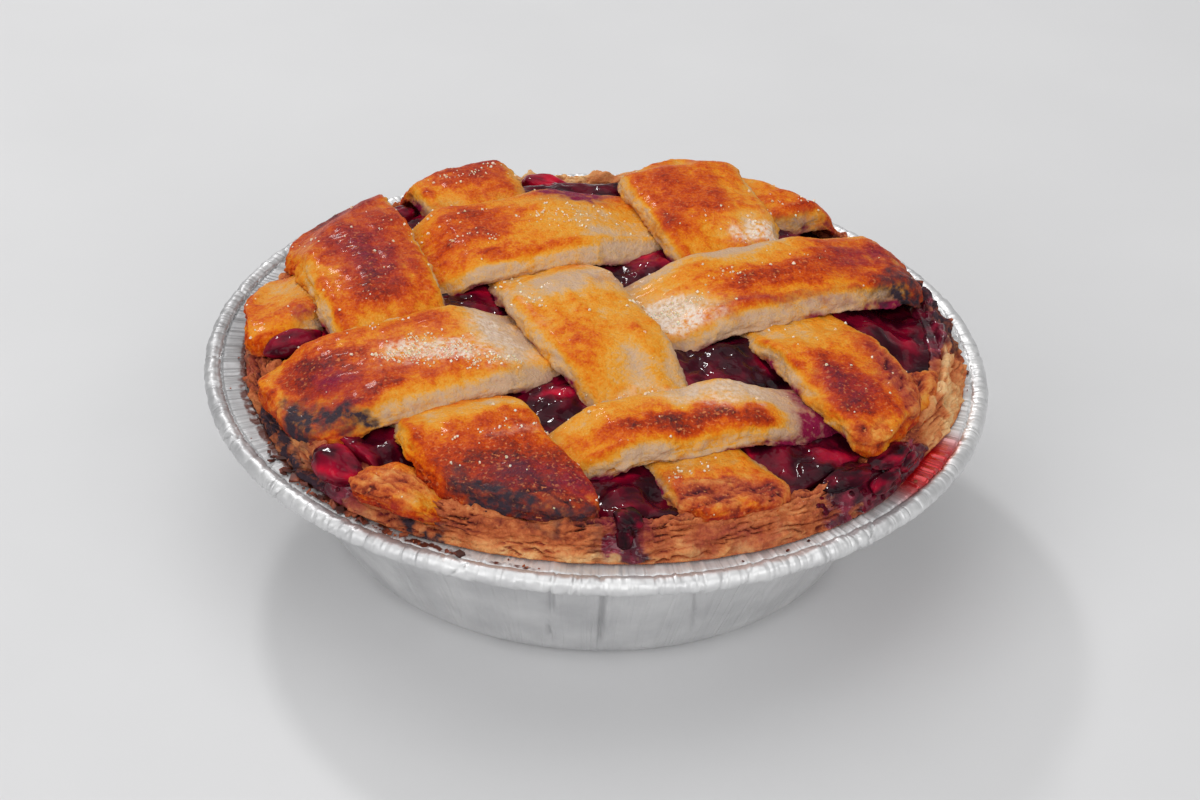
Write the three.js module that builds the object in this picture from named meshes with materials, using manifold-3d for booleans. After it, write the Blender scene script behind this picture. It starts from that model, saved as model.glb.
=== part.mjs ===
// A small cherry pie with a woven lattice top, in its own foil pan.
// Millimetres, +Z up, origin at the centre of the pan's underside.
// +X is the right-hand side and -Y the front. Lattice strips a1..a3 run from left to right
// (a1 at the front), and strips b1..b3 run from back to front (b1 at the left).

import * as THREE from "three";
import { mergeVertices } from "three/addons/utils/BufferGeometryUtils.js";
import Module from "manifold-3d";

const wasm = await Module();
wasm.setup();

// ---- Driving dimensions ------------------------------------------------------------------

const GAP = 0.35; // left between pieces that rest on each other

const PAN = {
  rimRadius: 63.5,
  beadRadius: 1.4,
  beadHeight: 27.6, // centre of the rolled edge
  beadCrimp: 0.16, // unevenness of the rolled edge
  flangeHeight: 28.5, // top face of the flat flange inside the rolled edge
  flangeWidth: 4.2, // from the wall to the foot of the rolled edge
  flangeBend: 0.9, // height over which the wall turns into the flange
  pleat: 0.12, // unevenness of the flange
  wallTopRadius: 56.4,
  baseRadius: 42,
  baseCorner: 1.6,
  foil: 0.5,
  segments: 84,
};

// The baked pie has slipped a little to the right in its pan, and bulges where strip a1 ends.
const CRUST = {
  slip: 1.4,
  radius: 58.2, // widest, on the flange
  bulge: { angle: -127, width: 22, size: 1.9 },
  layer: 1.45, // height of one flaky layer of the wall
  ledge: 0.75, // how far one layer steps back from the one below
  shoulderHeight: 33.4,
  shoulderTilt: -0.8, // at the very back
  rimWidth: 4.8,
  rimDrop: 1, // of the rim's inner edge below its top
  thickness: 4,
  footCorner: 3, // height of the case's lower outer corner
  bellyHeight: 22, // up to where the case's inside keeps to the pan's slope
  uneven: { outer: 0.5, layers: 0.6, top: 0.4 },
  segments: 64,
};

// The middle level of the lattice's top: a low dome, higher at the back, that turns down over
// the edge. Falls and rises are per reachOf, measured from the middle.
const DOME = {
  height: 39.8,
  reachOf: 50,
  fall: 2,
  tilt: 2.3,
  edgeHeight: 34.6,
  edgeTilt: -0.8,
  edgeFrom: 48.5,
  edgeTo: 57.5,
};

const STRIP = {
  thickness: 4.8,
  endThickness: 3,
  crown: 1, // fall of the top towards the long edges
  sideBulge: 0.5,
  bulgeDepth: 0.55, // share of the thickness at which the sides stand out most
  undercut: 0.6,
  wave: 2.6, // rise over a crossing, and fall under one
  plateau: 10.5, // half length of the level stretch at a crossing
  pinch: 2.2, // narrower by this where it passes under
  endRadius: 56.2, // of the circle in which all strips end
  endSlip: -0.7, // that circle's centre, along X
  cornerCut: 3,
  slopeSteps: 4,
  endSteps: 6,
};

const FILLING = { belowDome: 4.4, lump: 0.8, rings: 10, segments: 56 };

// Each strip: its direction in degrees from +X, offset of its centreline from the pan's
// middle, its width, and whether it lies over (+1) or under (-1) each strip that it crosses.
// Over BOW_LENGTH it bows and sways sideways and grows wider (taper). Beyond the last crossing
// an end comes to its own level within a length (fades). An end may lie past the common circle
// (overhangs), short of it (cuts) or askew (skews, in mm from one corner to the other).
const BOW_LENGTH = 50;
const UNCUT = 60;
const FADE = 13;
const PLAIN = {
  sway: 0,
  levels: [0, 0],
  fades: [FADE, FADE],
  overhangs: [0, 0],
  cuts: [UNCUT, UNCUT],
  skews: [0, 0],
};
const STRIPS = {
  a1: {
    angle: 21.4, offset: -35.1, bow: 0, width: 13.6, taper: 0.5,
    crossings: { b1: -1, b2: 1, b3: -1 },
    sway: 1.2,
    levels: [0.35, 0],
    fades: [6, FADE],
    overhangs: [3.8, 0],
  },
  a2: {
    angle: 26.1, offset: -6.2, bow: 1.4, width: 21.5, taper: -2.6,
    crossings: { b1: 1, b2: -1, b3: 1 },
  },
  a3: {
    angle: 23.4, offset: 22, bow: 2.4, width: 22.2, taper: 0.6,
    crossings: { b1: -1, b2: 1, b3: -1 },
    sway: 2.2,
    levels: [0.9, -0.4],
    fades: [FADE, 6],
    cuts: [UNCUT, 52],
  },
  b1: {
    angle: -65.7, offset: -33.1, bow: 3.5, width: 19.8, taper: 0.5,
    crossings: { a1: 1, a2: -1, a3: 1 },
    levels: [0.5, 0],
  },
  b2: {
    angle: -62, offset: -5.6, bow: 2.2, width: 19, taper: -1,
    crossings: { a1: -1, a2: 1, a3: -1 },
  },
  b3: {
    angle: -65.4, offset: 26.6, bow: 4, width: 20, taper: -3,
    crossings: { a1: 1, a2: -1, a3: 1 },
    levels: [-0.2, 0],
    fades: [6, FADE],
    cuts: [41, UNCUT],
    skews: [5, 0],
  },
};

const COLOURS = { foil: 0xc9cbcd, pastry: 0xd98f3f, filling: 0x6d0a1c };

// ---- Small helpers -------------------------------------------------------------------------

const radians = THREE.MathUtils.degToRad;
const lerp = THREE.MathUtils.lerp;
const smooth = (t) => THREE.MathUtils.smoothstep(t, 0, 1);
const bell = (distance, width) => Math.exp(-((distance / width) ** 2));

// Gentle unevenness round the pie: a fixed sum of a few waves, from -1 to 1.
function uneven(theta, seed) {
  const slow = Math.sin(3 * theta + seed);
  const middle = 0.7 * Math.sin(5 * theta + 2.3 * seed);
  const quick = 0.5 * Math.sin(9 * theta + 4.1 * seed);
  return (slow + middle + quick) / 2.2;
}

function geometryFrom(points, triangles) {
  const geometry = new THREE.BufferGeometry();
  const flat = points.flatMap((p) => [p.x, p.y, p.z]);
  geometry.setAttribute("position", new THREE.Float32BufferAttribute(flat, 3));
  geometry.setIndex(triangles.flat());
  return geometry;
}

// A closed surface round the axis, whose outline changes with the angle. The outline runs
// from the axis underneath, outwards, over the top and back to the axis.
function revolved(outlineAt, segments) {
  const points = [];
  const rows = [];
  for (let j = 0; j < segments; j++) {
    const theta = (2 * Math.PI * j) / segments;
    const outline = outlineAt(theta, j);
    const row = outline.map(([r, z], i) => {
      const onAxis = i === 0 || i === outline.length - 1;
      if (onAxis && j > 0) return rows[0][i];
      points.push(new THREE.Vector3(r * Math.cos(theta), r * Math.sin(theta), z));
      return points.length - 1;
    });
    rows.push(row);
  }
  const triangles = [];
  rows.forEach((row, j) => {
    const next = rows[(j + 1) % segments];
    const last = row.length - 2;
    for (let i = 0; i <= last; i++) {
      if (i > 0) triangles.push([row[i], next[i], next[i + 1]]);
      if (i === 0) triangles.push([row[0], next[1], row[1]]);
      else if (i < last) triangles.push([row[i], next[i + 1], row[i + 1]]);
    }
  });
  return geometryFrom(points, triangles);
}

// ---- Foil pan --------------------------------------------------------------------------------

function panWallRadius(z) {
  const share = THREE.MathUtils.clamp(z / PAN.flangeHeight, 0, 1);
  return lerp(PAN.baseRadius, PAN.wallTopRadius, share);
}

const BEAD_ANGLES = [200, 250, 300, 350, 40, 85, 125]; // degrees round the rolled edge's section

function panOutline(theta, segment) {
  const { foil, baseCorner, beadHeight, flangeHeight, flangeBend, wallTopRadius } = PAN;
  const crimp = PAN.beadCrimp * Math.sin(2.4 * segment + uneven(theta, 1));
  const pleat = PAN.pleat * Math.sin(1.9 * segment + 2 * uneven(theta, 3));
  const beadRadius = PAN.beadRadius - Math.abs(crimp);
  const beadCentre = PAN.rimRadius - PAN.beadRadius;
  const flangeTop = flangeHeight - Math.abs(pleat);
  const bendRadius = flangeBend / 2;
  const under = [
    [0, 0],
    [PAN.baseRadius - baseCorner, 0],
    [PAN.baseRadius - 0.3 * baseCorner, 0.25 * baseCorner],
    [panWallRadius(baseCorner) + foil, baseCorner],
    [wallTopRadius + foil - bendRadius, flangeHeight - foil - flangeBend],
    [wallTopRadius + foil + bendRadius, flangeHeight - foil],
  ];
  const bead = BEAD_ANGLES.map((degrees) => {
    const a = radians(degrees);
    return [beadCentre + beadRadius * Math.cos(a), beadHeight + beadRadius * Math.sin(a)];
  });
  const inside = [
    [wallTopRadius + PAN.flangeWidth, flangeTop],
    [wallTopRadius + bendRadius, flangeTop],
    [wallTopRadius - bendRadius, flangeHeight - flangeBend],
    [panWallRadius(baseCorner + foil), baseCorner + foil],
    [PAN.baseRadius - 1.4 * baseCorner, foil],
    [0, foil],
  ];
  return [...under, ...bead, ...inside];
}

// ---- The pie's edge ----------------------------------------------------------------------------

function edgeRadius(theta) {
  const { slip, radius, bulge } = CRUST;
  const turn = theta - radians(bulge.angle);
  const away = Math.atan2(Math.sin(turn), Math.cos(turn));
  return radius + slip * Math.cos(theta) + bulge.size * bell(away, radians(bulge.width));
}

// ---- Lattice strips ----------------------------------------------------------------------------

// How far a point is into the stretch where the top turns down over the edge, from 0 to 1.
function edgeShare(x, y) {
  return smooth((Math.hypot(x - CRUST.slip, y) - DOME.edgeFrom) / (DOME.edgeTo - DOME.edgeFrom));
}

function domeHeight(x, y) {
  const far = Math.hypot(x, y) / DOME.reachOf;
  const back = y / DOME.reachOf;
  const dome = DOME.height - DOME.fall * far ** 2 + DOME.tilt * back;
  return lerp(dome, DOME.edgeHeight + DOME.edgeTilt * back, edgeShare(x, y));
}

class Strip {
  constructor(name, sizes) {
    Object.assign(this, PLAIN, sizes, { name });
    const angle = radians(sizes.angle);
    this.along = new THREE.Vector2(Math.cos(angle), Math.sin(angle));
    this.across = new THREE.Vector2(-this.along.y, this.along.x);
  }

  centreAt(u) {
    const far = u / BOW_LENGTH;
    return this.offset + this.bow * far ** 2 + this.sway * far ** 3;
  }

  halfWidthAt(u) {
    const pinch = STRIP.pinch * (0.5 - 0.5 * this.weaveAt(u));
    return (this.width + (this.taper * u) / BOW_LENGTH - pinch) / 2;
  }

  pointAt(u, v) {
    return this.along.clone().multiplyScalar(u).addScaledVector(this.across, v);
  }

  // How far along this strip its centreline meets another's.
  meets(other) {
    let u = 0;
    for (let i = 0; i < 20; i++) {
      const p = this.pointAt(u, this.centreAt(u));
      const miss = p.dot(other.across) - other.centreAt(p.dot(other.along));
      u -= miss / this.along.dot(other.across);
    }
    return u;
  }

  findCrossings(strips) {
    this.knots = Object.entries(this.crossings)
      .map(([name, level]) => ({ u: this.meets(strips[name]), level }))
      .sort((p, q) => p.u - q.u);
  }

  // From -1, passing under, to +1, passing over: level at each crossing, with a slope between.
  weaveAt(u) {
    const first = this.knots[0];
    const last = this.knots[this.knots.length - 1];
    const beyond = Math.max(first.u - u, u - last.u) - STRIP.plateau;
    if (u <= first.u) return lerp(first.level, this.levels[0], smooth(beyond / this.fades[0]));
    if (u >= last.u) return lerp(last.level, this.levels[1], smooth(beyond / this.fades[1]));
    const i = this.knots.findIndex((knot, n) => u >= knot.u && u <= this.knots[n + 1].u);
    const [from, to] = [this.knots[i], this.knots[i + 1]];
    const slope = to.u - from.u - 2 * STRIP.plateau;
    return lerp(from.level, to.level, smooth((u - from.u - STRIP.plateau) / slope));
  }

  // The distance along the strip at which the line at this share of its width ends.
  reach(share, end) {
    const which = end < 0 ? 0 : 1;
    const radius = STRIP.endRadius + this.overhangs[which];
    let u = end * BOW_LENGTH;
    for (let i = 0; i < END_TRIES; i++) {
      const v = this.centreAt(u) + share * this.halfWidthAt(u) - STRIP.endSlip * this.across.x;
      u = STRIP.endSlip * this.along.x + end * Math.sqrt(radius ** 2 - v ** 2);
    }
    const cut = this.cuts[which] - (this.skews[which] * (1 - share)) / 2;
    return end * (Math.min(cut, Math.abs(u)) - STRIP.cornerCut * Math.abs(share) ** 6);
  }

  // Distances along the strip at this share of its width: even steps from each end to the
  // nearest crossing, and on the slopes between crossings.
  stationsAt(share) {
    const [first, middle, last] = this.knots.map((knot) => knot.u);
    const steps = (from, to, count) => {
      return Array.from({ length: count }, (_, i) => lerp(from, to, i / count));
    };
    const slope = (from, to) => [
      from,
      ...steps(from + STRIP.plateau, to - STRIP.plateau, STRIP.slopeSteps),
      to - STRIP.plateau,
    ];
    return [
      ...steps(this.reach(share, -1), first, STRIP.endSteps),
      ...slope(first, middle),
      ...slope(middle, last),
      ...steps(last, this.reach(share, 1), STRIP.endSteps),
      this.reach(share, 1),
    ];
  }

  // One line of points along the strip, at a share of its width and of its depth. With grow,
  // it is moved out of the strip by that much.
  line(share, depth, outwards, grow) {
    const stations = this.stationsAt(share);
    return stations.map((u, i) => {
      const v = this.centreAt(u) + share * this.halfWidthAt(u) + Math.sign(share) * outwards;
      const p = this.pointAt(u, v);
      const thickness = lerp(STRIP.thickness, STRIP.endThickness, edgeShare(p.x, p.y));
      const crown = STRIP.crown * Math.abs(share) ** 3 * (1 - depth);
      const z = domeHeight(p.x, p.y) + STRIP.wave * this.weaveAt(u) - crown - depth * thickness;
      const end = Number(i === stations.length - 1) - Number(i === 0);
      p.addScaledVector(this.along, grow * end).addScaledVector(this.across, grow * share);
      return new THREE.Vector3(p.x, p.y, z + grow * Math.sign(STRIP.bulgeDepth - depth));
    });
  }

  // The strip as a closed surface, or with grow, the room that it needs with a gap round it.
  geometry(grow = 0) {
    const inset = (share) => (Math.abs(share) === 1 ? -STRIP.undercut : 0);
    const lines = [
      ...SHARES.map((share) => this.line(share, 0, 0, grow)),
      this.line(1, STRIP.bulgeDepth, STRIP.sideBulge, grow),
      ...SHARES.toReversed().map((share) => this.line(share, 1, inset(share), grow)),
      this.line(-1, STRIP.bulgeDepth, STRIP.sideBulge, grow),
    ];
    const ring = lines.length;
    const length = lines[0].length;
    const points = lines[0].flatMap((_, i) => lines.map((line) => line[i]));
    const triangles = [];
    for (let i = 0; i + 1 < length; i++) {
      for (let k = 0; k < ring; k++) {
        const a = i * ring + k;
        const b = i * ring + ((k + 1) % ring);
        triangles.push([a, b + ring, b], [a, a + ring, b + ring]);
      }
    }
    const cap = (start, turned) => {
      const right = SHARES.length - 1; // top right, then the side, then bottom right
      const left = ring - 2; // bottom left, then the side, then top left
      const faces = [[right, right + 1, right + 2], [left, left + 1, 0]];
      for (let k = 0; k < right; k++) {
        faces.push([k, k + 1, left - k], [k + 1, left - k - 1, left - k]);
      }
      for (const face of faces) {
        const corners = face.map((corner) => start + corner);
        triangles.push(turned ? corners.reverse() : corners);
      }
    };
    cap(0, false);
    cap((length - 1) * ring, true);
    return geometryFrom(points, triangles);
  }
}

const END_TRIES = 12;
const SHARES = [-1, -0.75, 0, 0.75, 1]; // lines along a strip, as shares of its half width

const strips = Object.fromEntries(
  Object.entries(STRIPS).map(([name, sizes]) => [name, new Strip(name, sizes)]),
);
for (const strip of Object.values(strips)) strip.findCrossings(strips);

// ---- Joining and cutting ------------------------------------------------------------------------

function solidOf(geometry) {
  const merged = mergeVertices(geometry, 1e-4);
  const vertProperties = merged.attributes.position.array;
  const triVerts = new Uint32Array(merged.index.array);
  return new wasm.Manifold(new wasm.Mesh({ numProp: 3, vertProperties, triVerts }));
}

function geometryOf(solid) {
  const mesh = solid.getMesh();
  const positions = new Float32Array(mesh.numVert * 3);
  for (let i = 0; i < mesh.numVert; i++) {
    const start = i * mesh.numProp;
    positions.set(mesh.vertProperties.subarray(start, start + 3), i * 3);
  }
  return new THREE.BufferGeometry()
    .setAttribute("position", new THREE.BufferAttribute(positions, 3))
    .setIndex(new THREE.BufferAttribute(mesh.triVerts, 1));
}

// What is left of a piece after room is made for the strips, without loose scraps.
function clearedOfStrips(geometry, gap) {
  let solid = solidOf(geometry);
  for (const strip of Object.values(strips)) {
    solid = solid.subtract(solidOf(strip.geometry(gap)));
  }
  const bodies = solid.decompose().sort((p, q) => q.volume() - p.volume());
  return geometryOf(bodies[0]);
}

// ---- Pastry case ---------------------------------------------------------------------------------

// The case's inside: from the axis outwards over its floor and up its wall.
function caseInside(theta) {
  const { thickness, bellyHeight, shoulderHeight, shoulderTilt, rimDrop } = CRUST;
  const rim = edgeRadius(theta) - CRUST.rimWidth - CRUST.ledge;
  return [
    [0, PAN.foil + thickness],
    [PAN.baseRadius - 1.5 * thickness, PAN.foil + thickness],
    [panWallRadius(bellyHeight) - thickness, bellyHeight],
    [rim - 0.4 * thickness, shoulderHeight - thickness],
    [rim, shoulderHeight + shoulderTilt * Math.sin(theta) - rimDrop],
  ];
}

// Its outside stands clear of the pan, lies on the flange and steps back in flaky layers.
function crustOutline(theta) {
  const { layer, ledge, footCorner, shoulderHeight, shoulderTilt, uneven: amount } = CRUST;
  const lip = 0.3;
  const rest = PAN.flangeHeight + GAP;
  const outer = edgeRadius(theta) + amount.outer * uneven(theta, 1.7);
  const low = outer - ledge * (1 + amount.layers * uneven(theta, 5.2));
  const high = low - ledge * (1 + amount.layers * uneven(theta, 0.9));
  const top = shoulderHeight + shoulderTilt * Math.sin(theta) + amount.top * uneven(theta, 2.9);
  return [
    [0, PAN.foil + GAP],
    [PAN.baseRadius - PAN.baseCorner - 1, PAN.foil + GAP],
    [panWallRadius(footCorner) - 2 * GAP, footCorner],
    [PAN.wallTopRadius - PAN.flangeBend - GAP, rest - PAN.flangeBend],
    [PAN.wallTopRadius + lip, rest],
    [outer - lip, rest],
    [outer, rest + 0.5 * layer],
    [outer - lip, rest + layer],
    [low, rest + 1.2 * layer],
    [low - lip, rest + 2 * layer],
    [high, rest + 2.25 * layer],
    [high - lip, top - lip],
    [high - 4 * lip, top],
    ...caseInside(theta).toReversed(),
  ];
}

// ---- Filling --------------------------------------------------------------------------------------

function fillingOutline(theta) {
  const inset = caseInside(theta).map(([r, z]) => [Math.max(0, r - GAP), z + GAP]);
  const edge = inset[inset.length - 1][0];
  const surface = [];
  for (let i = 1; i < FILLING.rings; i++) {
    const r = edge * (1 - i / FILLING.rings);
    const level = domeHeight(r * Math.cos(theta), r * Math.sin(theta)) - FILLING.belowDome;
    surface.push([r, level + FILLING.lump * uneven(theta + 0.4 * i, 1.3 * i)]);
  }
  return [...inset, ...surface, [0, domeHeight(0, 0) - FILLING.belowDome]];
}

// ---- The whole -------------------------------------------------------------------------------------

function piece(name, geometry, color, roughness, metalness = 0) {
  const material = new THREE.MeshStandardMaterial({ color, roughness, metalness });
  const mesh = new THREE.Mesh(geometry, material);
  mesh.name = name;
  return mesh;
}

const crust = clearedOfStrips(revolved(crustOutline, CRUST.segments), GAP);
const filling = clearedOfStrips(revolved(fillingOutline, FILLING.segments), 1.5 * GAP);

const pie = new THREE.Group();
pie.name = "cherry_pie";
pie.add(piece("foil_pan", revolved(panOutline, PAN.segments), COLOURS.foil, 0.35, 0.9));
pie.add(piece("pastry_case", crust, COLOURS.pastry, 0.7));
pie.add(piece("cherry_filling", filling, COLOURS.filling, 0.15));
for (const strip of Object.values(strips)) {
  pie.add(piece(`lattice_${strip.name}`, strip.geometry(), COLOURS.pastry, 0.5));
}

export default pie;
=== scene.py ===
"""The fine surface of a small cherry pie in its foil pan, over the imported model.

Lengths are in millimetres until a mesh is made. +X is right, -Y the front and +Z up, and the
origin is the centre of the pan's underside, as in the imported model. The main forms follow the
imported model: the foil pan, the pastry case, the filling and six woven strips. Here the strips may
touch, so they are thinner and weave less deep, and the jelly stands higher between them.
"""

import math
from itertools import product

import bpy
import numpy as np
from mathutils import Matrix, Quaternion, Vector


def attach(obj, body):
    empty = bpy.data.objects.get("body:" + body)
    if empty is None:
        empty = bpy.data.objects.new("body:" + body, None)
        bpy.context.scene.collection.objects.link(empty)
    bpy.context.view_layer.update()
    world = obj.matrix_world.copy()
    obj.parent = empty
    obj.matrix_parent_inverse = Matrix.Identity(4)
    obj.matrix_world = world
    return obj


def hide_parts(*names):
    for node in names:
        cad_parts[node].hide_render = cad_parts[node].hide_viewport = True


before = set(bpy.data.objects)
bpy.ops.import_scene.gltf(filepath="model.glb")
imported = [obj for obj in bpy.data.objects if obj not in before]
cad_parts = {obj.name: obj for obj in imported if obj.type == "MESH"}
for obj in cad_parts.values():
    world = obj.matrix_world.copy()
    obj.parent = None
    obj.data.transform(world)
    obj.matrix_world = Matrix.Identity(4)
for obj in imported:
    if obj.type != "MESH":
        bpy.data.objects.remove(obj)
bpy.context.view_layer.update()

MM = 0.001
TURN = 2 * math.pi
GAP = 0.35  # between touching pieces
BACK_RIM_RISE = 1.0  # of the case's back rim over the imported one
JELLY_BELOW_DOME = 2.7  # from the mean height of the lattice's top down to the jelly
LIFT = 0.9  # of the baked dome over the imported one, where the weave has sunk
FLANGE_MIDDLE = 60  # radius at which the noise round the pan is taken
PAN_TURNS = 1230  # steps round the pan, the case and the jelly
CASE_TURNS = 880
JELLY_TURNS = 560
JELLY_RINGS = 118  # steps from the jelly's rim to its middle
FLUTES = 84  # in the pan's wall
JELLY_DROPS = 40
SUGAR_GRAINS = 1600

# ---- Sizes of the main forms ----

PAN = {
    "rim_radius": 63.5,
    "bead_radius": 1.4,
    "bead_height": 27.6,
    "flange_height": 28.5,
    "flange_width": 4.2,
    "bend": 0.9,
    "wall_top": 56.4,
    "base_radius": 42.0,
    "corner": 1.6,
    "foil": 0.5,
}
CRUST = {
    "slip": 1.4,
    "radius": 58.2,
    "bulge_angle": -127,
    "bulge_width": 22,
    "bulge": 1.9,
    "shoulder": 33.4,
    "shoulder_tilt": -0.8,
    "rim_width": 4.8,
    "rim_round": 0.75,
    "thickness": 4.0,
    "inset_angle": -28,
    "inset_width": 10,
    "inset": 1.7,
}
DOME = {
    "height": 39.8,
    "reach_of": 50,
    "fall": 2,
    "tilt": 2.3,
    "edge_height": 34.6,
    "edge_tilt": -0.8,
    "edge_from": 48.5,
    "edge_to": 57.5,
}
STRIP = {
    "thickness": 3.8,
    "end_thickness": 3.0,
    "crown": 0.9,
    "wave": 1.7,
    "plateau": 8.6,
    "pinch": 2.2,
    "end_radius": 56.2,
    "end_slip": -0.7,
    "corner_cut": 3.0,
}
BOW_LENGTH = 50  # half of the length over which the bow, sway and taper are measured
UNCUT = 60  # beyond the ends of every strip
FADE = 13  # over which the weave levels out, beyond the last crossing
# What a strip is unless its own entry says otherwise. Pairs are for its two ends.
PLAIN = {
    "sway": 0,
    "levels": (0, 0),
    "fades": (FADE, FADE),
    "overhangs": (0, 0),
    "cuts": (UNCUT, UNCUT),
    "skews": (0, 0),
    "flare": 0,
    "drift": 0,
}
# The two directions: how far the top falls in the band of layers along the front edge, the share
# at which that band starts, and how much darker the cut sides are baked.
KINDS = {
    "a": {"front_fall": 1.4, "front_band": 0.74, "side_baked": 0.0},
    "b": {"front_fall": 0.6, "front_band": 0.87, "side_baked": 0.12},
}
STRIPS = {
    "a1": {
        "angle": 21.4, "offset": -35.1, "bow": 0, "width": 13.6, "taper": 0.5,
        "crossings": {"b1": -1, "b2": 1, "b3": -1},
        "sway": 1.2, "levels": (0.35, 0), "fades": (6, FADE), "overhangs": (3.8, 0),
    },
    "a2": {
        "angle": 26.1, "offset": -6.2, "bow": 1.4, "width": 21.5, "taper": -2.6,
        "crossings": {"b1": 1, "b2": -1, "b3": 1},
    },
    "a3": {
        "angle": 23.4, "offset": 22, "bow": 2.4, "width": 22.2, "taper": 0.6,
        "crossings": {"b1": -1, "b2": 1, "b3": -1},
        "sway": 2.2, "levels": (0.9, -0.4), "fades": (FADE, 6), "cuts": (UNCUT, 52), "flare": 3.6,
        "drift": 2.2,
    },
    "b1": {
        "angle": -65.7, "offset": -33.1, "bow": 3.5, "width": 19.8, "taper": 0.5,
        "crossings": {"a1": 1, "a2": -1, "a3": 1},
        "levels": (0.5, 0), "overhangs": (0, -1.2),
    },
    "b2": {
        "angle": -62, "offset": -5.6, "bow": 2.2, "width": 19, "taper": -1,
        "crossings": {"a1": -1, "a2": 1, "a3": -1},
    },
    "b3": {
        "angle": -65.4, "offset": 26.6, "bow": 4, "width": 20, "taper": -3,
        "crossings": {"a1": 1, "a2": -1, "a3": 1},
        "levels": (-0.2, 0), "fades": (6, FADE), "cuts": (41, UNCUT), "skews": (5, 0),
    },
}

# ---- The look of the crust: where it is browned, burnt, stained, floury ----

# Ovals on the plan: x, y, half length, half width, direction of the length in degrees, strength.
BROWNED = {
    "a1": [
        (15, -34, 7, 2.4, 20, 0.46), (24, -32, 5, 2.2, 20, 0.42), (9, -36.5, 6, 1.6, 20, 0.2),
        (12, -31, 12, 2.5, 20, 0.1), (5, -40, 10, 2, 20, 0.16), (20, -36, 9, 1.6, 20, 0.2),
        (-31, -47, 9, 6, 20, 0.16), (-30, -44, 6, 1.4, 20, 0.16), (-27, -50.5, 9, 2, 10, 0.12),
        (-4, -40, 5, 2, 20, 0.2), (48, -11, 8, 7, 0, 0.24),
    ],
    "a2": [
        (-45, -21, 9, 3.8, 10, 0.33), (-43, -25, 7, 4, -20, 0.06), (-38, -22, 6, 1.6, -8, 0.2),
        (-45, -28, 6, 4, 60, 0.18), (-40, -26.5, 5, 3, -15, 0.22), (-33, -13, 10, 4, 25, 0.12),
        (-29, -26, 9, 2.4, 22, 0.22), (-33, -30, 8, 1.4, 25, 0.12), (-36, -32, 6, 2, 25, 0.16),
        (20, 2, 12, 3.5, 28, 0.12), (33, 8, 12, 4, 28, 0.13), (40, 14, 6, 6, 40, 0.18),
        (44, 20, 7, 4, 40, 0.14), (29, 3, 9, 1, 26, 0.06), (49, 14, 5, 5, 60, 0.2),
    ],
    "a3": [
        (-19, 20, 7, 4, 60, 0.16), (-23, 16, 10, 8, 20, 0.12), (-17, 8, 9, 1.6, 20, 0.12),
        (-27, 12, 4, 5, 60, 0.06), (-12, 10, 9, 1.2, 20, 0.14), (36, 31, 10, 8, 20, 0.2),
        (41, 27, 3, 6, 0, 0.2), (50, 33, 9, 3, -60, 0.1), (-53, 12, 9, 1.2, -70, 0.12),
        (-56, 2, 8, 1, -75, 0.14),
    ],
    "b1": [
        (-39, 7, 9, 4.5, -66, 0.2), (-40, 16, 16, 9, -66, 0.12), (-33, -2, 8, 6, -66, 0.14),
        (-46, 14, 6, 2, -66, 0.14), (-44, 30, 7, 4, -60, 0.22), (-18, -46, 8, 3, 15, 0.2),
        (-9, -48, 8, 4, 0, 0.34), (-9, -42, 8, 4, 0, 0.12), (-3, -52, 5, 4, 0, 0.22),
        (-22, -44, 3, 2, 0, 0.12), (-14, -52.5, 10, 3, -8, 0.3),
    ],
    "b2": [
        (-6, -10, 12, 2, -60, 0.14), (-12, -6, 9, 1.5, -62, 0.1), (2, -14, 8, 5, -60, 0.04),
        (-24, 42, 9, 9, 0, 0.42), (-22, 49, 9, 3, 15, 0.18), (-30, 34, 3, 4, 0, 0.1),
        (21, -48, 13, 4.4, 14, 0.2), (17, -43.5, 9, 1.4, 18, 0.1), (13, -47, 4, 4, 0, 0.12),
        (26, -44, 4, 4, 20, 0.08),
    ],
    "b3": [
        (14, 30, 10, 9, 24, 0.12), (12, 22, 5, 6, 0, 0.08), (20, 38, 6, 5, 0, 0.06),
        (39, -25, 8, 6, -60, 0.38), (36, -17, 5, 3, -60, 0.04), (44, -14, 9, 2, -66, 0.14),
        (41, -29, 6, 3, 0, 0.2), (47, -22, 7, 2, -66, 0.1),
    ],
}
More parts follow.
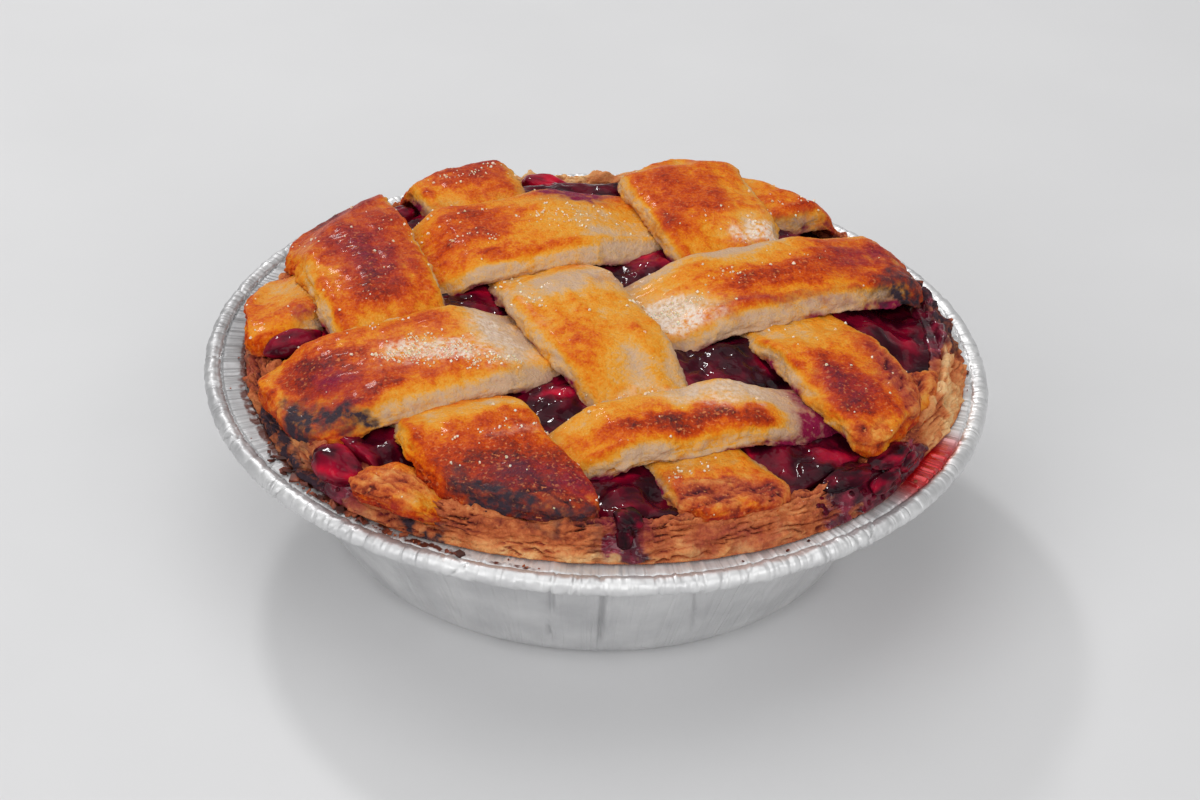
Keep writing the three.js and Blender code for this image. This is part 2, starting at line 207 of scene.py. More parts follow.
PALE = {
    "a1": [
        (19, -26, 12, 4.5, 20, 0.36), (31, -28, 6, 6, 60, 0.34), (-6, -34, 5, 4, -20, 0.2),
        (4, -24, 6, 3, 20, 0.08),
    ],
    "a2": [
        (-14, -13, 12, 5, -62, 0.5), (-51, -22, 9, 1.4, -72, 0.3), (-22, -8, 4, 3, 0, 0.2),
        (17, 12, 13, 5, 28, 0.42), (6, 6, 6, 5, 0, 0.22), (26, 17, 6, 2.5, 28, 0.25),
        (12, -4, 5, 4, 0, 0.4), (-40, -17.5, 7, 1, 10, 0.14), (-26, -20, 6, 2, 10, 0.14),
    ],
    "a3": [
        (-4, 20, 8, 8, -66, 0.22), (-8, 28, 9, 3, 15, 0.12), (5, 17, 5, 7, -60, 0.3),
        (-51, 6, 4, 8, 20, 0.12),
    ],
    "b1": [
        (-31, 1, 9, 1.3, -66, 0.14), (-33, -7, 8, 2, 20, 0.18), (-47, 7, 12, 2.2, -66, 0.24),
        (-23, -35, 8, 3.4, 20, 0.26), (-14, -32, 6, 2.4, 20, 0.3),
    ],
    "b2": [
        (-2, 2, 8, 5, 25, 0.26), (-9, -1, 9, 5, 25, 0.3), (-12, -3, 10, 1.6, -62, 0.12),
        (8, -19, 9, 5, 25, 0.2), (14, -17, 9, 1.6, -62, 0.12),
    ],
    "b3": [
        (25, 23, 5, 3, 20, 0.3), (6, 20, 12, 1.2, -66, 0.1), (29, -5, 5, 7, 0, 0.12),
        (30, -15, 14, 1.2, -62, 0.16), (33, -9, 6, 6, 0, 0.1), (45, -30, 4, 4, 0, 0.36),
    ],
}
BURNT = {
    "a2": [
        (-41.5, -32.5, 6, 2.2, 5, 0.8), (-36.5, -33.5, 5, 1.4, -10, 0.8), (-46, -30, 3.4, 1.8, -60, 0.6),
        (50, 12, 4, 3.5, 60, 0.7), (46, 8, 6, 1, 26, 0.6), (-41, -35.6, 7, 1.6, -8, 0.5),
    ],
    "a3": [(31, 29, 5, 0.8, 10, 0.3)],
    "b1": [
        (-14.5, -52.8, 6, 1.8, -8, 0.85), (-20, -48.5, 3, 1.6, -30, 0.55), (-4, -55, 6, 2, 0, 0.65),
        (-46, 30, 9, 1.4, 50, 0.5), (-9, -49.5, 5, 1.4, 0, 0.3),
    ],
    "b2": [(-20, 50.5, 7, 1.4, 10, 0.3)],
}
STAINED = {
    "a1": [(34, -27, 8, 3, -66, 0.9), (-8, -38, 1.6, 4, 0, 0.4), (33, -34, 4, 2.4, 0, 0.8)],
    "a2": [
        (42, 16, 6, 4, 40, 0.35), (-40, -26.5, 4.4, 2.6, -15, 0.5), (-42, -33, 7, 4, 5, 0.4),
        (-46, -21, 5, 3.5, 10, 0.12), (30, 0, 14, 1.2, 24, 0.4), (48, 18, 4, 5, 40, 0.3),
    ],
    "a3": [(-5, 31, 7, 2.8, 15, 1.0), (41, 27, 3, 6, 0, 0.35), (-47, -4, 2, 3, 0, 0.5)],
    "b1": [
        (-38, 8, 10, 6, -66, 0.2), (-41, 16, 20, 10, -66, 0.14), (-45, 30, 7, 5, -66, 0.24),
        (-9, -49, 7, 3, 0, 0.3), (-2, -50, 3, 3, 0, 0.35),
    ],
    "b2": [(1, 3, 4, 2, 30, 0.25), (-22, 43, 8, 6, 0, 0.2), (22, -47, 9, 3, 10, 0.16)],
    "b3": [
        (31, -25, 9, 1.8, -62, 0.9), (46, -20, 9, 3, -62, 0.3), (7, 22, 10, 1.4, -66, 0.3),
        (39, -24, 6, 4, -60, 0.3),
    ],
}
FLOURY = {
    "a1": [(20, -27, 9, 3, 20, 0.4)],
    "a2": [
        (-25, -20, 8, 3.4, 5, 0.8), (-16, -13, 9, 4, -62, 0.5), (12, -5, 6, 3.6, -10, 2.0),
        (-20, -21, 4, 1.6, 0, 0.3),
    ],
    "a3": [(4, 13, 8, 1.4, 20, 0.2)],
    "b1": [(-12, -39, 5, 1.2, 15, 0.16)],
    "b2": [(-13, -3, 8, 1, -62, 0.2), (8, -24, 6, 1.4, 25, 0.2), (0, 6, 4, 2, 25, 0.2)],
    "b3": [(26, 22, 4, 2.4, 20, 1.1)],
}
# Where the pastry of the tops lies in open flakes.
FLAKY = {
    "a1": [(-30, -49, 9, 5, 15, 1.0), (49, -11, 7, 7, 0, 1.0)],
    "a2": [(50, 18, 4, 8, 60, 0.6), (-48, -30, 3, 4, 60, 0.5)],
    "a3": [(46, 33, 6, 8, 0, 0.5)],
    "b1": [(-10, -53, 12, 1.6, -6, 0.7)],
    "b2": [(20, -48, 12, 3.6, 14, 1.0)],
    "b3": [(48, -20, 10, 2.6, -62, 1.0), (41, -33, 6, 2, 20, 0.6)],
}
BAKED_BASE = {"a1": 0.33, "a2": 0.41, "a3": 0.43, "b1": 0.51, "b2": 0.36, "b3": 0.43}

# ---- Small helpers ----

CORNERS = np.array(list(product((0, 1), repeat=3)))
DIRECTIONS = np.array([d for d in product((-1, 0, 1), repeat=3) if sum(map(abs, d)) == 2])
PRIMES = (73856093, 19349663, 83492791, 49979687)


def smooth(share):
    """0 below 0, 1 above 1 and a soft step between them."""
    share = limited(share)
    return share * share * (3 - 2 * share)


def limited(values):
    return np.clip(values, 0, 1)


def joined(*parts):
    """Arrays, or numbers, as the columns of one array."""
    return np.stack(np.broadcast_arrays(*parts), axis=-1)


def mix(a, b, share):
    return a + (b - a) * share


def bell(distance, width):
    return np.exp(-((distance / width) ** 2))


def off_whole(values):
    """How far each value is from the nearest whole number."""
    within = values - np.floor(values)
    return np.minimum(within, 1 - within)


def scrambled(cells, seed):
    """A whole number for each lattice cell, the same in every run."""
    number = seed * PRIMES[3]
    for axis in range(3):
        number = number ^ (cells[..., axis] * PRIMES[axis])
    number = (number ^ (number >> 13)) * 1274126177
    number = (number ^ (number >> 16)) & 0x7FFFFFFF
    return number


def noise(points, size, seed=0):
    """Smooth noise, about -1 to 1, with features of this size (a number, or one for each axis)."""
    places = points / np.asarray(size, dtype=float)
    cells = np.floor(places).astype(np.int64)
    inside = places - cells
    eased = inside**3 * (inside * (inside * 6 - 15) + 10)
    total = np.zeros(len(points))
    for corner in CORNERS:
        slope = DIRECTIONS[scrambled(cells + corner, seed) % len(DIRECTIONS)]
        weight = np.prod(np.where(corner, eased, 1 - eased), axis=-1)
        total += weight * np.sum(slope * (inside - corner), axis=-1)
    return 1.5 * total


def rough(points, size, octaves=3, seed=0):
    """Noise of several sizes, each half as large and half as strong as the one before."""
    size = np.asarray(size, dtype=float)
    return sum(noise(points, size / 2**i, seed + i) / 2**i for i in range(octaves))


def pebbles(points, size, seed=0):
    """1 at the middle of each of many round places about this far apart, and 0 between them."""
    places = points / size
    cells = np.floor(places).astype(np.int64)
    nearest = np.full(len(points), 9.0)
    for offset in product((-1, 0, 1), repeat=3):
        cell = cells + offset
        number = scrambled(cell, seed)
        middle = cell + joined(*((number >> (9 * k)) % 512 for k in range(3))) / 512
        nearest = np.minimum(nearest, np.sum((places - middle) ** 2, axis=-1))
    return limited(1 - 1.6 * np.sqrt(nearest))


def oval(plan, x, y, length, width, degrees):
    """1 at the middle of an oval place on the plan, falling away to its edge."""
    angle = math.radians(degrees)
    along = (plan[:, 0] - x) * math.cos(angle) + (plan[:, 1] - y) * math.sin(angle)
    across = (plan[:, 1] - y) * math.cos(angle) - (plan[:, 0] - x) * math.sin(angle)
    return np.exp(-((along / length) ** 2) - (across / width) ** 2)


def painted(points, ovals, seed, crisp=0.0):
    """The sum of some ovals, with uneven edges, soft or more or less crisp."""
    total = np.zeros(len(points))
    if not ovals:
        return total
    wobble = joined(rough(points, 6, 4, seed), rough(points, 6, 4, seed + 9))
    plan = points[:, :2] + 1.8 * wobble
    ragged = 1 + 0.45 * rough(points, 2.2, 3, seed + 5)
    for x, y, length, width, degrees, strength in ovals:
        soft = oval(plan, x, y, length, width, degrees)
        sharp = smooth((soft * ragged - 0.22) / 0.4)
        total += strength * mix(soft, sharp, crisp)
    return total


def outward(points, faces):
    """A unit normal at each point of a closed surface."""
    a, b, c, d = (points[faces[:, k]] for k in range(4))
    face_normals = np.cross(c - a, d - b)
    normals = np.zeros_like(points)
    for k in range(4):
        np.add.at(normals, faces[:, k], face_normals)
    return normals / np.maximum(np.linalg.norm(normals, axis=1, keepdims=True), 1e-9)


def piece(name, points, faces, material, slot, paint=None, replaces=None):
    """A mesh object from points in mm and rows of corners, in which a corner may be repeated. What
    is painted is a value for each point, or one for all of them."""
    mesh = bpy.data.meshes.new(name)
    corners = [tuple(dict.fromkeys(face)) for face in faces.tolist()]
    mesh.from_pydata((points * MM).tolist(), [], corners)
    mesh.polygons.foreach_set("use_smooth", np.ones(len(corners), bool))
    for key, values in (paint or {}).items():
        values = np.broadcast_to(np.ravel(values), len(points))
        mesh.attributes.new(key, "FLOAT", "POINT").data.foreach_set("value", values.astype(float))
    mesh.validate()
    mesh.materials.append(material)
    obj = bpy.data.objects.new(name, mesh)
    bpy.context.scene.collection.objects.link(obj)
    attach(obj, "root")
    if replaces:
        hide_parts(replaces)
    return obj


def box_lattice(nx, ny, nz):
    """The surface of a box as a lattice: its points, from 0 to 1 each way, and its faces."""
    grid = np.indices((nx + 1, ny + 1, nz + 1)).reshape(3, -1).T
    limits = np.array([nx, ny, nz])
    on_surface = np.any((grid == 0) | (grid == limits), axis=1)
    number = np.full(len(grid), -1)
    number[on_surface] = np.arange(on_surface.sum())
    number = number.reshape(nx + 1, ny + 1, nz + 1)

    def side(sheet, turned):
        quads = joined(sheet[:-1, :-1], sheet[1:, :-1], sheet[1:, 1:], sheet[:-1, 1:]).reshape(-1, 4)
        return quads[:, ::-1] if turned else quads

    faces = np.concatenate([
        side(number[:, :, 0], True), side(number[:, :, -1], False),
        side(number[:, 0, :], False), side(number[:, -1, :], True),
        side(number[0, :, :], True), side(number[-1, :, :], False),
    ])
    return grid[on_surface] / limits, faces


def directions(turns):
    """Angles all the way round, as a column."""
    return TURN * np.arange(turns)[:, None] / turns


def revolved(radius, height):
    """A closed surface round the axis from tables of radius and height, one row for each angle.
    The first and last column lie on the axis."""
    turns, across = radius.shape
    theta = directions(turns)
    points = joined(radius * np.cos(theta), radius * np.sin(theta), height)
    index = np.arange(turns * across).reshape(turns, across)
    index[:, 0] = index[0, 0]
    index[:, -1] = index[0, -1]
    nxt = np.roll(index, -1, axis=0)
    faces = joined(index[:, :-1], nxt[:, :-1], nxt[:, 1:], index[:, 1:])
    return points.reshape(-1, 3), faces.reshape(-1, 4)


def swept(section, turns):
    """Tables of radius and height for revolved, from a section whose entries may vary round it."""
    return tuple(
        np.hstack([np.broadcast_to(values, (turns, 1)) for values in column]) for column in zip(*section)
    )


# ---- Materials ----


class Value:
    """A node's output, with arithmetic that adds math nodes."""

    def __init__(self, shader, socket):
        self.shader, self.socket = shader, socket

    def math(self, operation, a, b=0.0):
        made = self.shader.tree.nodes.new("ShaderNodeMath")
        made.operation = operation
        self.shader.feed(made.inputs[0], a)
        self.shader.feed(made.inputs[1], b)
        return Value(self.shader, made.outputs[0])

    def __add__(self, other):
        return self.math("ADD", self, other)

    def __sub__(self, other):
        return self.math("SUBTRACT", self, other)

    def __rsub__(self, other):
        return self.math("SUBTRACT", other, self)

    def __mul__(self, other):
        return self.math("MULTIPLY", self, other)

    def limited(self):
        """The same, kept from 0 to 1 by its own math node."""
        self.socket.node.use_clamp = True
        return self


class Shader:
    """A node material with a Principled shader, and short ways to add nodes to it."""

    def __init__(self, name, **settings):
        self.material = bpy.data.materials.new(name)
        self.material.use_nodes = True
        self.tree = self.material.node_tree
        self.set(self.tree.nodes["Principled BSDF"], **settings)

    def finish(self, **inputs):
        """The material, once these inputs of its shader are fed."""
        self.set(self.tree.nodes["Principled BSDF"], **inputs)
        return self.material

    def feed(self, socket, value):
        if isinstance(value, Value):
            self.tree.links.new(value.socket, socket)
        else:
            socket.default_value = value

    def set(self, node, **inputs):
        for name, value in inputs.items():
            self.feed(node.inputs[name.replace("_", " ")], value)

    def node(self, kind, output, **inputs):
        made = self.tree.nodes.new("ShaderNode" + kind)
        self.set(made, **inputs)
        return Value(self, made.outputs[output])

    def painted(self, name):
        value = self.node("Attribute", "Fac")
        value.socket.node.attribute_name = name
        return value

    def place(self):
        return self.node("TexCoord", "Object")

    def grain(self, size_mm, detail=2.0, stretch=(1, 1, 1)):
        """Noise from 0 to 1 with features of this size."""
        scaled = self.node("Mapping", "Vector", Vector=self.place(), Scale=stretch)
        return self.node("TexNoise", "Fac", Vector=scaled, Scale=1 / (size_mm * MM), Detail=detail)

    def uneven(self, size_mm, detail, strength):
        """Noise round 0, mostly within half of this strength."""
        return (self.grain(size_mm, detail) - 0.5) * strength

    def ramp(self, value, stops):
        made = self.node("ValToRGB", "Color", Fac=value)
        elements = made.socket.node.color_ramp.elements
        while len(elements) < len(stops):
            elements.new(0.5)
        for element, (at, colour) in zip(elements, stops):
            element.position = at
            element.color = flat(colour)
        return made

    def blend(self, share, a, b):
        made = self.tree.nodes.new("ShaderNodeMix")
        made.data_type = "RGBA"
        self.set(made, Factor=share, A=a, B=b)
        return Value(self, made.outputs["Result"])

    def bump(self, height, depth_mm, below=None):
        """A normal with this relief, over the relief of another normal."""
        made = self.node("Bump", "Normal", Height=height, Strength=1.0, Distance=depth_mm * MM)
        if below:
            self.feed(made.socket.node.inputs["Normal"], below)
        return made


def linear(colour):
    """An sRGB colour of 0 to 255 as linear light."""
    return tuple(
        c / 12.92 if c <= 0.04045 else ((c + 0.055) / 1.055) ** 2.4 for c in (x / 255 for x in colour)
    )


def flat(colour):
    return (*linear(colour), 1)


# Stops of share and sRGB colour, from pale to dark or from deep jelly to thin.
BAKED_LATTICE = (
    (0.0, (198, 164, 134)), (0.12, (210, 166, 114)), (0.27, (224, 155, 52)),
    (0.42, (222, 131, 20)), (0.56, (208, 92, 8)), (0.69, (184, 59, 4)),
    (0.81, (146, 42, 14)), (0.91, (100, 36, 28)), (1.0, (58, 28, 30)),
)
BAKED_CASE = (
    (0.0, (232, 190, 136)), (0.2, (220, 156, 100)), (0.42, (204, 122, 74)), (0.6, (180, 94, 56)),
    (0.78, (136, 62, 44)), (0.9, (88, 40, 36)), (1.0, (46, 25, 28)),
)
JELLY = ((0.0, (24, 3, 11)), (0.3, (62, 5, 22)), (0.65, (132, 8, 38)), (1.0, (196, 16, 48)))
SPILLED = ((0.34, (50, 6, 22)), (0.5, (92, 10, 36)), (0.66, (148, 34, 60)))
CHAR = flat((58, 46, 54))
STAIN = flat((128, 22, 60))
FLOUR = flat((232, 214, 198))
FLECK = flat((226, 142, 84))


def pastry_material(name, gloss, colours):
    """Baked flaky pastry: its colour runs from pale dough to dark brown with how far it is baked,
    and it is charred, stained, floury or wet with syrup where that is painted. Its cracks between
    layers and flakes are painted darker, as painted shade."""
    m = Shader(name, Specular_IOR_Level=0.07, Coat_Roughness=0.1)
    coarse, fine, specks = m.grain(3.0, 4), m.grain(0.9, 4), m.grain(0.4, 2)
    baked_and_shade = m.painted("baked_and_shade") + (coarse - 0.5) * 0.28 + (fine - 0.5) * 0.36 + (specks - 0.5) * 0.32
    colour = m.blend(m.painted("flaky"), m.ramp(baked_and_shade, colours), m.ramp(baked_and_shade, BAKED_CASE))
    flecks = ((m.grain(0.6, 1) - 0.6) * 9.0).limited()
    toasted = ((m.painted("baked_and_shade") - 0.42) * 1.5).limited()
    colour = m.blend(flecks * toasted, colour, FLECK)
    ragged = m.uneven(1.3, 6, 2.6)

    def patch(key):
        painted = m.painted(key)
        return ((painted + ragged * painted) * 1.1).limited()

    floury = patch("floury") * (m.uneven(0.7, 3, 4.0) + 0.72).limited()
    wet = (patch("wet") * 1.8).limited()
    colour = m.blend(patch("stained"), colour, STAIN)
    colour = m.blend(floury, colour, FLOUR)
    colour = m.blend(patch("burnt"), colour, CHAR)
    dry = (m.painted("dry") + floury) * 0.35
    roughness = dry + gloss + fine * 0.2 - wet * 0.35
    washed = (1.0 - dry * 2.9).limited() * 0.05
    return m.finish(
        Base_Color=m.blend(wet, colour, m.ramp(m.grain(3.2, 3), SPILLED)),
        Roughness=roughness.math("MAXIMUM", roughness, 0.1),
        Coat_Weight=washed + wet * 0.9,
        Subsurface_Weight=0.05,
        Subsurface_Radius=(1.0, 0.4, 0.15),
        Subsurface_Scale=0.003,
        Normal=m.bump(specks, 0.2, m.bump(fine, 0.26)),
    )


def filling_material():
    """Dark cherry jelly: nearly black where it is deep, bright crimson where it is thin."""
    m = Shader("cherry_jelly", Roughness=0.09, Specular_IOR_Level=0.12)
    return m.finish(
        Base_Color=m.ramp((m.painted("thin") + m.uneven(2.2, 3, 0.5)).limited(), JELLY),
        Subsurface_Weight=0.12,
        Subsurface_Radius=(1.0, 0.08, 0.1),
        Subsurface_Scale=0.002,
        Normal=m.bump(m.grain(2.2, 2), 0.3),
    )


def foil_material():
    """Pressed foil, satin, with brown drips of burnt syrup and a thin red film where painted."""
    m = Shader("foil")
    smear = m.grain(9, 4)
    stained, film, flange = m.painted("stained"), m.painted("film"), m.painted("flange")
    brown = ((stained + m.uneven(1.4, 4, 3.0) * stained) * 3.0 - 1.2).limited()
    colour = m.ramp(smear, ((0.3, (210, 210, 211)), (0.7, (236, 236, 236))))
    # Painted reflection: the flange and bead are painted darker on the left, where the foil reflects
    # darker surroundings.
    colour = m.blend(m.painted("dull"), colour, flat((104, 104, 106)))
    colour = m.blend(brown, colour, flat((92, 40, 26)))
    # Thin sharp creases, noise drawn out down the wall and across the flange.
    place = m.place()
    x, y, z = (m.node("SeparateXYZ", axis, Vector=place) for axis in "XYZ")
    turned = x.math("ARCTAN2", y, x) * (FLANGE_MIDDLE * MM)
    unrolled = m.node("CombineXYZ", "Vector", X=turned, Y=z * (flange * 0.1 + 0.06))
    lines = m.node("TexNoise", "Fac", Vector=unrolled, Scale=1 / (2.2 * MM), Detail=1.5)
    off_line = lines.math("ABSOLUTE", lines - 0.5)
    creased = m.bump((off_line * 11.0).limited(), 0.1, m.bump(smear, 0.4))
    return m.finish(
        Base_Color=m.blend(film, colour, flat((214, 16, 30))),
        Metallic=(0.86 - flange * 0.4 - brown).limited(),
        Roughness=m.grain(2.6, 4) * 0.3 + 0.34 - film * 0.25,
        Coat_Weight=film,
        Normal=m.bump(m.grain(0.5, 2, (1, 1, 0.2)), 0.012, creased),
    )


def sugar_material():
    m = Shader("sugar", Roughness=0.3, Subsurface_Weight=0.4, Subsurface_Scale=0.001)
    shades = ((0.3, (226, 190, 146)), (0.7, (248, 236, 220)))
    return m.finish(Base_Color=m.ramp(m.grain(1.5), shades))


def crumb_material():
    m = Shader("burnt_crumbs", Roughness=0.6)
    shades = ((0.35, (66, 28, 20)), (0.5, (124, 54, 34)), (0.65, (170, 92, 56)))
    return m.finish(Base_Color=m.ramp(m.grain(2.5, 2), shades))


# ---- Lattice strips ----


def edge_share(x, y):
    """How far a point is into the stretch where the dome turns down to the rim, from 0 to 1."""
    reach = np.hypot(x - CRUST["slip"], y) - DOME["edge_from"]
    return smooth(reach / (DOME["edge_to"] - DOME["edge_from"]))


def dome_height(x, y):
    """The mean height of the lattice's top."""
    back = y / DOME["reach_of"]
    far = np.hypot(x, y) / DOME["reach_of"]
    dome = DOME["height"] + LIFT - DOME["fall"] * far**2 + DOME["tilt"] * back
    return mix(dome, DOME["edge_height"] + DOME["edge_tilt"] * back, edge_share(x, y))


class Strip:
    """A lattice strip. u runs along it and v across it, in mm; share is -1 to 1 across it and
    depth 0 at its top to 1 underneath."""

    STEP = 0.43  # between points of its surface
    ROUND = 1.3  # radius of its edges
    SINK = 0.9  # how far its ends reach down into the rim
    LENGTH = 104.0  # before it is bent to its place
    START_FROM, START_OVER = 38, 12  # where its first end starts to drift and flare, and how gently
    DOWN = 0.32  # between points down its sides

    def __init__(self, name, sizes):
        self.name = name
        for key, value in {**PLAIN, **KINDS[name[0]], **sizes}.items():
            setattr(self, key, value)
        angle = math.radians(self.angle)
        self.along = np.array([math.cos(angle), math.sin(angle)])
        self.across = np.array([-self.along[1], self.along[0]])
        self.seed = 20 * sorted(STRIPS).index(name)

    @staticmethod
    def at_start(u):
        """1 at its first end, 0 along the rest of it."""
        return smooth((-u - Strip.START_FROM) / Strip.START_OVER)

    def centre(self, u):
        """How far across its middle line lies from the pie's centre, in mm."""
        far = u / BOW_LENGTH
        return self.offset + self.bow * far**2 + self.sway * far**3 + self.drift * self.at_start(u)

    def half_width(self, u):
        pinch = STRIP["pinch"] * (0.5 - 0.5 * self.weave(u))
        return (self.width + self.taper * u / BOW_LENGTH - pinch) / 2 + self.flare * self.at_start(u)

    def find_crossings(self, strips):
        """Keeps where it meets each strip of the other direction, with its level there."""

        def meets(other):
            u = 0.0
            for _ in range(20):
                point = self.along * u + self.across * self.centre(u)
                miss = point @ other.across - other.centre(point @ other.along)
                u -= miss / (self.along @ other.across)
            return u

        self.knots = sorted((meets(strips[name]), level) for name, level in self.crossings.items())

    def weave(self, u):
        """-1 where it passes under, 1 where it passes over."""
        plateau = STRIP["plateau"]
        (first, first_level), (last, last_level) = self.knots[0], self.knots[-1]
        level = first_level + np.zeros_like(u, dtype=float)
        for (start, a), (stop, b) in zip(self.knots, self.knots[1:]):
            level += (b - a) * smooth((u - start - plateau) / (stop - start - 2 * plateau))
        level += (self.levels[0] - first_level) * smooth((first - u - plateau) / self.fades[0])
        level += (self.levels[1] - last_level) * smooth((u - last - plateau) / self.fades[1])
        return level

    def reach(self, share, end):
        """Where its first (-1) or last (1) end lies along it, cut off and with rounded corners."""
        which = 0 if end < 0 else 1
        radius = STRIP["end_radius"] + self.overhangs[which]
        u = end * BOW_LENGTH + np.zeros_like(share)
        for _ in range(12):
            v = self.centre(u) + share * self.half_width(u) - STRIP["end_slip"] * self.across[0]
            u = STRIP["end_slip"] * self.along[0] + end * np.sqrt(radius**2 - v**2)
        cut = self.cuts[which] - self.skews[which] * (1 - share) / 2
        return end * (np.minimum(cut, np.abs(u)) - STRIP["corner_cut"] * np.abs(share) ** 6)

    def surface(self):
        """Its fine surface: points in mm, faces, and u, share and depth at each point."""
        length, width, thick = self.LENGTH, self.width, STRIP["thickness"]
        unit, faces = box_lattice(int(length / self.STEP), int(width / self.STEP), int(thick / self.DOWN))
        size = np.array([length, width, thick])
        inner = np.clip(unit * size, self.ROUND, size - self.ROUND)
        away = (unit * size - inner) / self.ROUND
        far = np.maximum(np.linalg.norm(away, axis=1, keepdims=True), 1)
        place = (inner + away / far * self.ROUND) / size
        t, share, depth = place[:, 0], 2 * place[:, 1] - 1, 1 - place[:, 2]

        u = mix(self.reach(share, -1), self.reach(share, 1), t)
        torn = 0.7 * noise(joined(share * 10, t * 300, depth * 3), (5, 60, 2), self.seed)
        u = u + np.sign(t - 0.5) * smooth((np.abs(t - 0.5) - 0.46) / 0.04) * torn
        ragged = joined(u, share * 30, depth * 3)
        wander = 0.55 * noise(ragged, (9, 20, 3), self.seed)
        wander += 0.3 * noise(ragged, (2.6, 20, 1.6), self.seed + 1) + 0.35 * depth
        v = self.centre(u) + share * self.half_width(u) + np.sign(share) * np.abs(share) ** 4 * wander
        x = u * self.along[0] + v * self.across[0]
        y = u * self.along[1] + v * self.across[1]
        rim = edge_share(x, y)
        thickness = mix(thick, STRIP["end_thickness"] + self.SINK, rim)
        crown = STRIP["crown"] * np.abs(share) ** 3 * (1 - depth)
        fall = self.front_fall * self.band(share, u) * (1 - depth) * (1 - 0.5 * rim)
        z = dome_height(x, y) + STRIP["wave"] * self.weave(u) - crown - fall - depth * thickness
        return joined(x, y, z), faces, u, share, depth

    def band(self, share, u):
        """From 0 on the top to 1 at the front edge, through the band of cut layers there."""
        start = self.front_band + 0.05 * noise(joined(u, 0, 0), 12, self.seed + 11)
        return limited((-share - start) / (1.02 - start)) ** 1.2

    def layers(self, along, share, depth, band, far):
        """The relief of the layers in its cut sides, and how open the cracks between them are."""
        down = mix(depth * 4.4, 4.4 * band + depth * 2, band > 0)
        sheet = down * 1.15 + 0.9 * noise(along, (13, 30, 50), self.seed + 7)
        leaf = joined(along[:, 0], np.sign(share) * 20, np.floor(sheet) * 7)
        layered = 1.0 if self.name == "a1" else 0.35 + 0.65 * smooth((far - 42) / 8)
        crack = bell(off_whole(sheet), 0.15) * layered * smooth(noise(leaf, 6, self.seed + 15) + 0.6)
        return 0.3 * rough(leaf, 5, 3, self.seed + 12) * layered - 0.3 * crack, crack

    def flakes(self, points, far):
        """The relief of open flakes, and how open the splits between them are."""
        level = 0.5 * points[:, 2] + 0.62 * far + 1.1 * noise(points, 8, self.seed + 18)
        level += 0.35 * rough(points, 2.4, 3, self.seed + 19)
        torn = joined(points[:, 0], points[:, 1], np.floor(level) * 9)
        split = bell(off_whole(level), 0.12)
        return 0.75 * rough(torn, 4, 3, self.seed + 20) - 0.45 * split, split

    def make(self, material):
        """Its piece, with relief and browning. It gives back where sugar can land."""
        points, faces, u, share, depth = self.surface()
        normals = outward(points, faces)
        band = self.band(share, u)
        face = smooth((depth - 0.1) / 0.12) * smooth((1 - depth) / 0.05)
        above = depth < 0.5
        side = np.maximum(face, smooth((band - 0.02) / 0.5) * above)
        top = above * (1 - side)
        far = np.hypot(points[:, 0] - CRUST["slip"], points[:, 1])
        along = joined(u, share * self.width / 2, depth * 5)

        def spots(table, number, crisp):
            return painted(points, table.get(self.name, ()), self.seed + number, crisp)

        folds = rough(along, (19, 3.4, 9), 2, self.seed)
        swell = rough(points, 10, 2, self.seed + 3)
        blister = rough(points, 2.2, 3, self.seed + 5)
        bubbly = smooth((noise(points, 8, self.seed + 8) - 0.1) / 0.3)
        bubbles = pebbles(points, 1.5, self.seed + 6) * bubbly
        ridge_at = 0.07 - self.front_band - 0.05 * noise(along, (14, 50, 50), self.seed + 9)
        ridge = bell(share - ridge_at, 0.07) * above
        ridge *= smooth(noise(along, (23, 60, 60), self.seed + 10) + 0.55)
        layers, crack = self.layers(along, share, depth, band, far)
        layers = layers + 0.2 * rough(points, 0.9, 2, self.seed + 13)
        flakes, split = self.flakes(points, far)
        flaky = limited(spots(FLAKY, 17, 0.4)) * above
        relief = top * (0.2 * folds + 0.26 * swell + 0.08 * blister + 0.14 * bubbles)
        relief = mix(relief + 0.3 * ridge + side * layers, flakes, flaky * 0.9)
        points = points + normals * (relief * smooth((1.02 - depth) / 0.2))[:, None]

        baked_and_shade = BAKED_BASE[self.name] + 0.04 * self.weave(u) + 0.1 * folds + 0.08 * swell
        baked_and_shade += 0.06 * blister + 0.12 * ridge + 0.1 * bubbles
        baked_and_shade -= 0.12 * smooth((np.abs(share) - 0.84) / 0.15)
        rim = smooth((far - 45) / 8)
        # Painted shade: the cracks between the layers of the cut sides and ends are painted darker.
        side_baked = self.side_baked + 0.2 * crack + 0.3 * rim + 0.08 * blister
        side_baked += 0.14 * noise(along, (9, 5, 5), self.seed + 16)
        end_baked_and_shade = 0.6 + 0.2 * crack + 0.14 * blister
        baked_and_shade = mix(baked_and_shade, mix(side_baked, end_baked_and_shade, smooth((far - 49.5) / 3.5)), side * 0.9)
        baked_and_shade += (spots(BROWNED, 0, 0.2) - spots(PALE, 1, 0.15)) * (1 - 0.5 * side)
        baked_and_shade = np.minimum(baked_and_shade, 0.76 + 0.45 * (baked_and_shade - 0.76))
